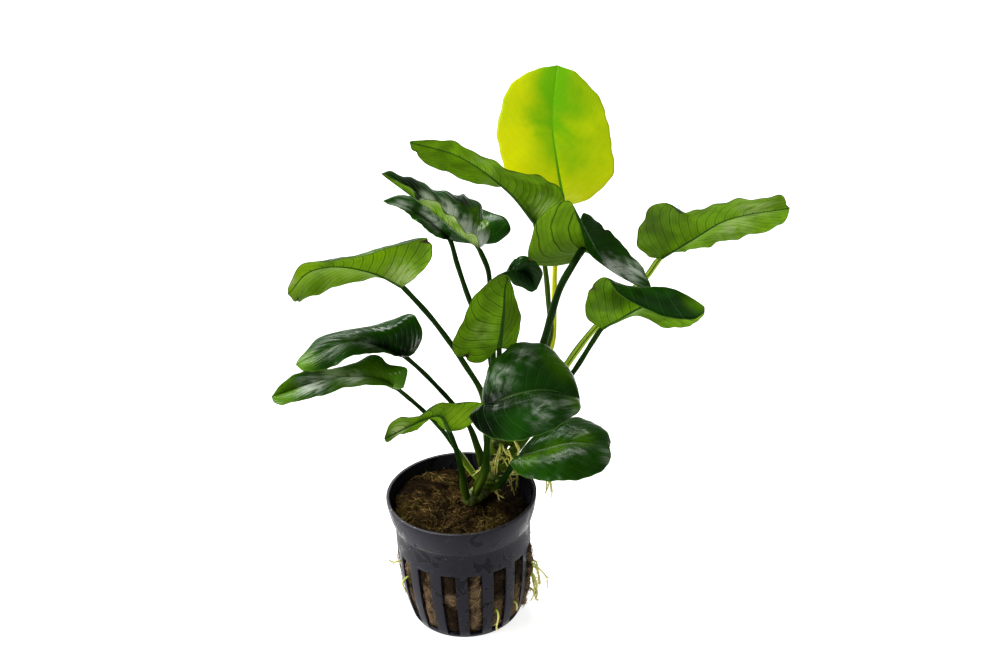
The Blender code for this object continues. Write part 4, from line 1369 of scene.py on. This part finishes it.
def pot_mesh(settings):
    """The wall thickened inwards, drained, and with every edge eased."""
    holder = link("pot_source", wall_mesh(settings.rib_columns))
    cutter = drain_cutter()
    add_modifier(holder, "wall", "SOLIDIFY", thickness=WALL * MM, offset=-1.0,
                 use_even_offset=True)
    add_modifier(holder, "drains", "BOOLEAN", operation="DIFFERENCE", solver="EXACT",
                 object=cutter)
    add_modifier(holder, "edges", "BEVEL", width=settings.edge_round, segments=2,
                 limit_method="ANGLE", angle_limit=math.radians(38), harden_normals=False)
    mesh = take_mesh(holder)
    bpy.data.objects.remove(cutter, do_unlink=True)
    mesh.polygons.foreach_set("use_smooth", [True] * len(mesh.polygons))
    mesh.set_sharp_from_angle(angle=math.radians(42))
    mesh.polygons.foreach_set("material_index", [int(is_inside(p.center)) for p in mesh.polygons])
    return mesh


def damp_group():
    """Dark, glossy patches where water has wetted a surface, and their paler rims, which are painted
    highlights along the water's edges.
    """
    group, wiring, entry, leave = new_group(
        "damp_marks_with_rim_highlights", "ShaderNodeTree", [("Scale", "Float", 70.0), ("Amount", "Float", 0.4)],
        [("Wet", "Float"), ("Rings", "Float")])
    tall = wiring.stretched(wiring.object_place(), (1.0, 1.0, 0.75))
    cloud = wiring.noise(tall, entry["Scale"], 4.0, 0.6, 0.8)
    over = wiring.minus(cloud, wiring.minus(0.86, wiring.times(entry["Amount"], 0.5)))
    wiring.send(leave, {"Wet": wiring.ramp(over, 0.0, 0.025),
                        "Rings": wiring.ramp(wiring.math("ABSOLUTE", over), 0.012, 0.0)})
    return group


def pot_material(settings):
    """Satin charcoal plastic with flow marks, scuffs and wet patches, the patches ringed with painted
    highlights.
    """
    material, wiring, shader = new_material("pot_plastic")
    plastic, place = settings.plastic, wiring.object_place()
    damp = wiring.add("ShaderNodeGroup", {"Scale": 170.0, "Amount": 0.62},
                      node_tree=damp_group()).outputs
    tall = wiring.stretched(place, (1.0, 1.0, 0.25))
    flow = wiring.noise(tall, 60.0, 4.0)
    grain = wiring.noise(place, 2800.0, 2.0)
    scuff = wiring.ramp(wiring.noise(tall, 420.0, 5.0, 0.7), 0.60, 0.72)
    base = wiring.mix(wiring.ramp(flow, 0.3, 0.7), shade(plastic, 0.82), shade(plastic, 1.25))
    rough = wiring.minus(wiring.scaled(flow, 0.12, 0.36), wiring.times(damp["Wet"], 0.24))
    height = wiring.plus(wiring.times(grain, 0.35), wiring.times(damp["Wet"], 0.8))
    wiring.send(shader, {
        "Base Color": wiring.coats(
            base, (wiring.times(scuff, 0.5), (0.040, 0.040, 0.050)),
            (wiring.times(damp["Wet"], 0.75), shade(plastic, 0.25)),
            # paler rims round the wet patches: painted highlights
            (wiring.times(damp["Rings"], 0.35), (0.06, 0.06, 0.075))),
        "Roughness": rough,
        "Normal": wiring.bump(height, 0.00008, 0.5),
        "Specular IOR Level": 0.16,
    })
    return material


def lip_material(settings):
    """The same plastic where it is wet and unlit: the lip and the inside."""
    material, wiring, shader = new_material("pot_lip")
    plastic = settings.plastic
    cloud = wiring.noise(wiring.object_place(), 300.0, 3.0)
    wiring.send(shader, {
        "Base Color": wiring.mix(cloud, shade(plastic, 0.3), shade(plastic, 0.7)),
        "Roughness": wiring.scaled(cloud, 0.3, 0.3),
        "Specular IOR Level": 0.15,
    })
    return material


def drop_tree():
    """Scatters flattened water beads over the outside of a wall."""
    group, wiring, entry, leave = new_group(
        "water_drops", "GeometryNodeTree",
        [("Wall", "Geometry", None), ("Density", "Float", 9000.0), ("Seed", "Int", 3),
         ("Material", "Material", None)],
        [("Mesh", "Geometry")])
    parts = wiring.split(wiring.add("GeometryNodeInputPosition").outputs["Position"])
    flat = wiring.vector(parts["X"], parts["Y"])
    normal = wiring.add("GeometryNodeInputNormal").outputs["Normal"]
    facing = wiring.add("ShaderNodeVectorMath", {0: flat, 1: normal}, operation="DOT_PRODUCT")
    outside = wiring.add("FunctionNodeCompare", {"A": facing.outputs["Value"], "B": 0.015},
                         data_type="FLOAT", operation="GREATER_THAN").outputs["Result"]
    spread = wiring.add("GeometryNodeDistributePointsOnFaces",
                        {"Mesh": entry["Wall"], "Selection": outside,
                         "Density": entry["Density"], "Seed": entry["Seed"]},
                        distribute_method="RANDOM").outputs
    ball = wiring.add("GeometryNodeMeshIcoSphere", {"Radius": 1.0, "Subdivisions": 3})
    bead = wiring.add("GeometryNodeTransform",
                      {"Geometry": ball.outputs["Mesh"], "Scale": (1.0, 1.0, 0.42)})
    beads = wiring.add("GeometryNodeInstanceOnPoints",
                       {"Points": spread["Points"], "Instance": bead.outputs["Geometry"],
                        "Rotation": spread["Rotation"],
                        "Scale": wiring.chance(0.00012, 0.00055, 8)})
    finish_tree(wiring, beads.outputs["Instances"], entry, leave)
    return group


def water_material():
    material, wiring, shader = new_material("water_bead")
    ripple = wiring.noise(wiring.object_place(), 900.0, 2.0)
    wiring.send(shader, {
        "Base Color": (0.95, 0.98, 1.0), "Transmission Weight": 1.0, "IOR": 1.33,
        "Roughness": wiring.times(ripple, 0.06),
    })
    return material


class ANUBIAS_OT_pot(bpy.types.Operator):
    """Build the slotted net pot and the water beads on its wall."""

    bl_idname = "anubias.pot"
    bl_label = "Net pot"

    def execute(self, context):
        settings = context.scene.anubias_pot
        mesh = pot_mesh(settings)
        mesh.materials.clear()
        mesh.materials.append(pot_material(settings))
        mesh.materials.append(lip_material(settings))
        source = mesh.copy()
        place_piece("pot_shell", mesh, ["pot"], "pot")
        drops = grow("pot_drops", source, drop_tree(),
                     {"Density": settings.drops, "Seed": 3, "Material": water_material()})
        place_piece("pot_water_drops", drops, [], "pot")
        return {"FINISHED"}


# Plug

def inner_radius(height):
    if height > COLLAR_FOOT:
        return collar_radius(height) - COLLAR_STEP - WALL
    return body_radius(height) - WALL


def slot_window(bearing, height):
    """1 in the middle of a slot, 0 on the ribs; and the number of the nearest slot."""
    pitch = 360.0 / SLOT_COUNT
    index = round((bearing - SLOT_TURN) / pitch)
    away = abs(bearing - SLOT_TURN - index * pitch)
    across = 1.0 - smooth_step(away, 0.30 * SLOT_ANGLE, 0.48 * SLOT_ANGLE)
    tall = smooth_step(height, SLOT_ABOVE_FOOT + 0.2, SLOT_ABOVE_FOOT + 2.2)
    tall = tall * (1.0 - smooth_step(height, SLOT_TOP - 2.0, SLOT_TOP - 0.2))
    return float(across * tall), index % SLOT_COUNT


def heap_height(place):
    """How far the plug is heaped up towards one side of the rim, in millimetres."""
    return HEAP_RISE * max(0.0, float(np.dot(place, HEAP_SIDE))) ** 1.6


def side_point(direction, bearing, height):
    """A pitted place on the plug's side, which swells into the slots, and how open it is."""
    window, slot = slot_window(bearing, height)
    reach = inner_radius(height) - 0.42
    seed = Vector(direction * reach * 0.24) + Vector((0, 0, height * 0.24))
    pit = noise.fractal(seed, 0.8, 2.2, 4)
    reach += window * (0.45 + SLOT_BULGES.get(slot, SLOT_BULGE)) + pit * (0.10 + 0.55 * window)
    return direction * reach + (0.0, 0.0, height), window


def top_point(direction, radius, height, edge, lump):
    """A place on the heaved and heaped top of the plug."""
    seed = Vector(direction * radius * 0.16) + Vector((7.0, 3.0, height * 0.05))
    heave = noise.fractal(seed, 0.85, 2.1, 5)
    tuft = noise.fractal(seed * 6.0, 0.7, 2.0, 2)
    calm = min(1.0, (edge - radius) / 3.0 + 0.35)
    lift = lump * (heave * calm + 0.3 * tuft)
    heap = heap_height(direction * radius / edge)
    return direction * (radius + 0.16 * heap) + (0.0, 0.0, height + lift + heap)


def plug_mesh(settings):
    """Top, side and foot of the plug as rings of points from the middle out and down."""
    lump = settings.lump / MM
    edge = inner_radius(CROWN - 2.2) - 0.45
    bearings = np.linspace(0.0, 360.0, PLUG_COLUMNS, endpoint=False)
    rings = [(edge * share, CROWN) for share in np.linspace(0.02, 0.93, 40)]
    rings += [(edge * 0.972, CROWN - 0.5), (edge, CROWN - 1.6)]
    rings += [(None, h) for h in np.linspace(CROWN - 2.6, FLOOR + 0.5, 76)]
    rings += [((inner_radius(FLOOR) - 1) * share, PLUG_FOOT) for share in (0.9, 0.6, 0.3, 0.05)]
    points, shown = [], []
    for radius, height in rings:
        for bearing in bearings:
            direction = around(bearing, 1.0, 0.0)
            if radius is None:
                point, is_shown = side_point(direction, bearing, height)
            elif height > CROWN / 2:
                point, is_shown = top_point(direction, radius, height, edge, lump), 1.0
            else:
                point, is_shown = direction * radius + (0.0, 0.0, height), 0.0
            points.append(point)
            shown.append(is_shown)
    faces = ring_faces(len(rings), PLUG_COLUMNS)
    points += [np.array((0.0, 0.0, CROWN)), np.array((0.0, 0.0, PLUG_FOOT))]
    last = (len(rings) - 1) * PLUG_COLUMNS
    for column in range(PLUG_COLUMNS):
        ahead = (column + 1) % PLUG_COLUMNS
        faces.append([len(points) - 2, column, ahead])
        faces.append([last + column, len(points) - 1, last + ahead])
    mesh = fill_mesh("plug_body", points, faces)
    store(mesh, "shown", np.array(shown + [1.0, 0.0]))
    return mesh


# Start, start handle, end handle and end of each kind of fibre, as shares of its length
FIBRE_SHAPES = (
    ((-0.5, 0, -0.06), (-0.2, 0.05, 0.12), (0.2, -0.05, 0.12), (0.5, 0.03, -0.04)),
    ((-0.5, 0.05, -0.05), (-0.1, -0.10, 0.05), (0.3, 0.12, 0.15), (0.45, 0.0, 0.12)),
    ((-0.45, -0.05, 0.0), (0.1, 0.12, 0.02), (0.2, -0.12, 0.1), (0.45, 0.08, 0.0)),
)


def fibre_tree():
    """Scatters curled fibres over a surface, where its attribute called shown is high."""
    group, wiring, entry, leave = new_group(
        "plug_fibres", "GeometryNodeTree",
        [("Surface", "Geometry", None), ("Density", "Float", 9e5), ("Length", "Float", 0.003),
         ("Radius", "Float", 0.00005), ("Seed", "Int", 4), ("Material", "Material", None)],
        [("Mesh", "Geometry")])
    density = wiring.times(wiring.stored("shown"), entry["Density"])
    spread = wiring.add("GeometryNodeDistributePointsOnFaces",
                        {"Mesh": entry["Surface"], "Density": density, "Seed": entry["Seed"]},
                        distribute_method="RANDOM").outputs
    ring = wiring.add("GeometryNodeCurvePrimitiveCircle",
                      {"Resolution": 3, "Radius": entry["Radius"]}).outputs["Curve"]
    length = wiring.vector(entry["Length"], entry["Length"], entry["Length"])
    kinds = wiring.add("GeometryNodeGeometryToInstance")
    for start, lead, trail, end in FIBRE_SHAPES:
        arc = wiring.add("GeometryNodeCurvePrimitiveBezierSegment",
                         {"Resolution": 5, "Start": start, "Start Handle": lead,
                          "End Handle": trail, "End": end}).outputs["Curve"]
        arc = wiring.add("GeometryNodeTransform", {"Geometry": arc, "Scale": length})
        strand = wiring.add("GeometryNodeCurveToMesh",
                            {"Curve": arc.outputs["Geometry"], "Profile Curve": ring,
                             "Fill Caps": True})
        wiring.feed(kinds.inputs[0], strand.outputs["Mesh"])
    spin = wiring.add("FunctionNodeRandomValue",
                      {0: (-0.35, -0.35, 0.0), 1: (0.35, 0.35, 6.28), "Seed": 21},
                      data_type="FLOAT_VECTOR").outputs[0]
    turned = wiring.add("FunctionNodeRotateRotation",
                        {"Rotation": spread["Rotation"], "Rotate By": spin},
                        rotation_space="LOCAL")
    pick = wiring.add("FunctionNodeRandomValue", {4: 0, 5: 2, "Seed": 13},
                      data_type="INT").outputs[2]
    strands = wiring.add("GeometryNodeInstanceOnPoints",
                         {"Points": spread["Points"], "Instance": kinds.outputs["Instances"],
                          "Pick Instance": True, "Instance Index": pick,
                          "Rotation": turned.outputs["Rotation"],
                          "Scale": wiring.chance(0.5, 1.5, 9)}).outputs["Instances"]
    tinted = wiring.store(strands, "tint", wiring.chance(0.0, 1.0, 17), "INSTANCE")
    finish_tree(wiring, tinted, entry, leave)
    return group


def plug_material(name, settings, bright):
    """Damp brown mineral fibre: golden strands, moss, pale lower side, and near-black patches of painted
    shade.
    """
    material, wiring, shader = new_material(name)
    place = wiring.object_place()
    cloud = wiring.noise(place, 75.0, 4.0, 0.6, 0.6)
    speck = wiring.noise(place, 620.0, 4.0, 0.7, 1.2)
    combed = wiring.stretched(place, (1.0, 5.0, 2.0), (0.5, 0.3, 0.8))
    strand = wiring.noise(combed, 330.0, 4.0, 0.6, 1.5)
    base = wiring.mix(wiring.ramp(speck, 0.36, 0.66), shade(settings.fibre, 0.10 * bright),
                      shade(settings.fibre, 1.25 * bright))
    tint = wiring.ramp(wiring.attribute("tint"), 0.45, 1.0)
    low = wiring.ramp(wiring.split(place)["Z"], (CROWN - 3.0) * MM, (CROWN - 6.0) * MM)
    base = wiring.coats(
        base,
        (wiring.times(wiring.ramp(strand, 0.52, 0.7), 0.65), shade((0.46, 0.33, 0.13), bright)),
        (wiring.times(wiring.ramp(cloud, 0.55, 0.72), 0.5), shade((0.25, 0.21, 0.035), bright)),
        (wiring.times(tint, 0.8), shade((0.62, 0.45, 0.18), bright)),
        (wiring.times(low, 0.5), shade((0.56, 0.40, 0.26), bright)),
        # near-black patches where the cloud is low: painted shade for the plug's hollows
        (wiring.times(wiring.ramp(cloud, 0.58, 0.44), 0.9), (0.012, 0.006, 0.002)))
    damp = wiring.times(wiring.ramp(cloud, 0.5, 0.3), 0.3)
    wiring.send(shader, {
        "Base Color": base,
        "Roughness": wiring.minus(0.92, damp),
        "Normal": wiring.bump(wiring.plus(speck, wiring.times(strand, 0.7)), 0.0006, 1.0),
        "Specular IOR Level": 0.08,
    })
    return material


class ANUBIAS_OT_plug(bpy.types.Operator):
    """Build the growing plug and the loose fibres over its top and in the slots."""

    bl_idname = "anubias.plug"
    bl_label = "Growing plug"

    def execute(self, context):
        settings = context.scene.anubias_plug
        body = plug_mesh(settings)
        source = body.copy()
        body.materials.append(plug_material("plug_fibre_mass", settings, 0.5))
        place_piece("plug_mass", body, ["plug"], "plug")
        fibres = grow("plug_fibres", source, fibre_tree(), {
            "Density": settings.fibre_density, "Length": settings.fibre_length,
            "Radius": settings.fibre_radius, "Seed": 4,
            "Material": plug_material("plug_loose_fibre", settings, 0.85)})
        place_piece("plug_loose_fibres", fibres, [], "plug")
        return {"FINISHED"}


# Stage

STAGE_AIM = (0.03, 0.0, 0.09)


def stage_material(color, glow):
    """Matt floor that also gives off an even white light."""
    material, wiring, shader = new_material("stage_floor")
    cloud = wiring.noise(wiring.object_place(), 3.0, 2.0)
    wiring.send(shader, {
        "Base Color": wiring.mix(cloud, shade(color, 0.995), color), "Roughness": 0.9,
        "Specular IOR Level": 0.1, "Emission Color": (1.0, 1.0, 1.0), "Emission Strength": glow,
    })
    return material


def add_softbox(name, place, size, power):
    """A square white area lamp that faces the plant; places in metres."""
    lamp = bpy.data.lights.new(name, "AREA")
    lamp.shape = "SQUARE"
    lamp.size = size
    lamp.energy = power
    holder = link(name, lamp)
    holder.location = place
    aim = Vector(STAGE_AIM) - Vector(place)
    holder.rotation_euler = aim.to_track_quat("-Z", "Y").to_euler()


class ANUBIAS_OT_stage(bpy.types.Operator):
    """Set the pale floor, the soft light and the camera."""

    bl_idname = "anubias.stage"
    bl_label = "Stage"

    def execute(self, context):
        scene = context.scene
        settings = scene.anubias_stage
        draft = bmesh.new()
        bmesh.ops.create_grid(draft, x_segments=1, y_segments=1, size=6.0)
        mesh = bpy.data.meshes.new("floor")
        draft.to_mesh(mesh)
        draft.free()
        mesh.materials.append(stage_material(settings.floor_color, settings.floor_glow))
        floor = link("floor", mesh)

        world = bpy.data.worlds.new("studio")
        world.use_nodes = True
        Wiring(world.node_tree).send(world.node_tree.nodes["Background"], {
            "Color": (1.0, 1.0, 1.0), "Strength": settings.sky_strength})
        scene.world = world
        scene.view_settings.view_transform = "Standard"
        scene.view_settings.look = "Medium High Contrast"

        power = settings.key_power
        add_softbox("softbox_back", (-0.25, 0.75, 0.95), 0.7, power)
        add_softbox("softbox_left", (-0.9, -0.35, 0.65), 0.5, 0.55 * power)

        camera = bpy.data.cameras.new("camera")
        camera.lens = 50.0
        camera.sensor_width = 36.0
        holder = link("camera", camera)
        turn = Matrix.Rotation(-settings.pan, 4, "Z")
        turn @= Matrix.Rotation(math.pi / 2 - settings.tilt, 4, "X")
        turn @= Matrix.Rotation(settings.roll, 4, "Z")
        place = Vector((0.0, -settings.camera_distance, settings.camera_height))
        holder.matrix_world = Matrix.Translation(place) @ turn
        scene.camera = holder
        return {"FINISHED"}


# Panel and registration

PIECES = ("stage", "pot", "plug", "rhizome", "stalks", "leaves", "roots")


class ANUBIAS_PT_panel(bpy.types.Panel):
    """The plant's settings and the operators that build it."""

    bl_idname = "ANUBIAS_PT_panel"
    bl_label = "Potted anubias"
    bl_space_type = "VIEW_3D"
    bl_region_type = "UI"
    bl_category = "Anubias"

    def draw(self, context):
        for key, group in SETTINGS.items():
            box = self.layout.box()
            box.label(text=group.__doc__)
            for name in group.__annotations__:
                box.prop(getattr(context.scene, key), name)
        for piece in PIECES:
            self.layout.operator("anubias." + piece)


SETTINGS = {
    "anubias_stage": AnubiasStage,
    "anubias_pot": AnubiasPot,
    "anubias_plug": AnubiasPlug,
    "anubias_plant": AnubiasPlant,
}
OPERATORS = (
    ANUBIAS_OT_stage, ANUBIAS_OT_pot, ANUBIAS_OT_plug, ANUBIAS_OT_rhizome,
    ANUBIAS_OT_stalks, ANUBIAS_OT_leaves, ANUBIAS_OT_roots,
)


def register():
    for key, group in SETTINGS.items():
        bpy.utils.register_class(group)
        setattr(bpy.types.Scene, key, PointerProperty(type=group))
    for operator in OPERATORS:
        bpy.utils.register_class(operator)
    bpy.utils.register_class(ANUBIAS_PT_panel)


def unregister():
    bpy.utils.unregister_class(ANUBIAS_PT_panel)
    for operator in reversed(OPERATORS):
        bpy.utils.unregister_class(operator)
    for key, group in SETTINGS.items():
        delattr(bpy.types.Scene, key)
        bpy.utils.unregister_class(group)


def main():
    register()
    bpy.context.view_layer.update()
    for piece in PIECES:
        getattr(bpy.ops.anubias, piece)()


if __name__ == "__main__":
    main()
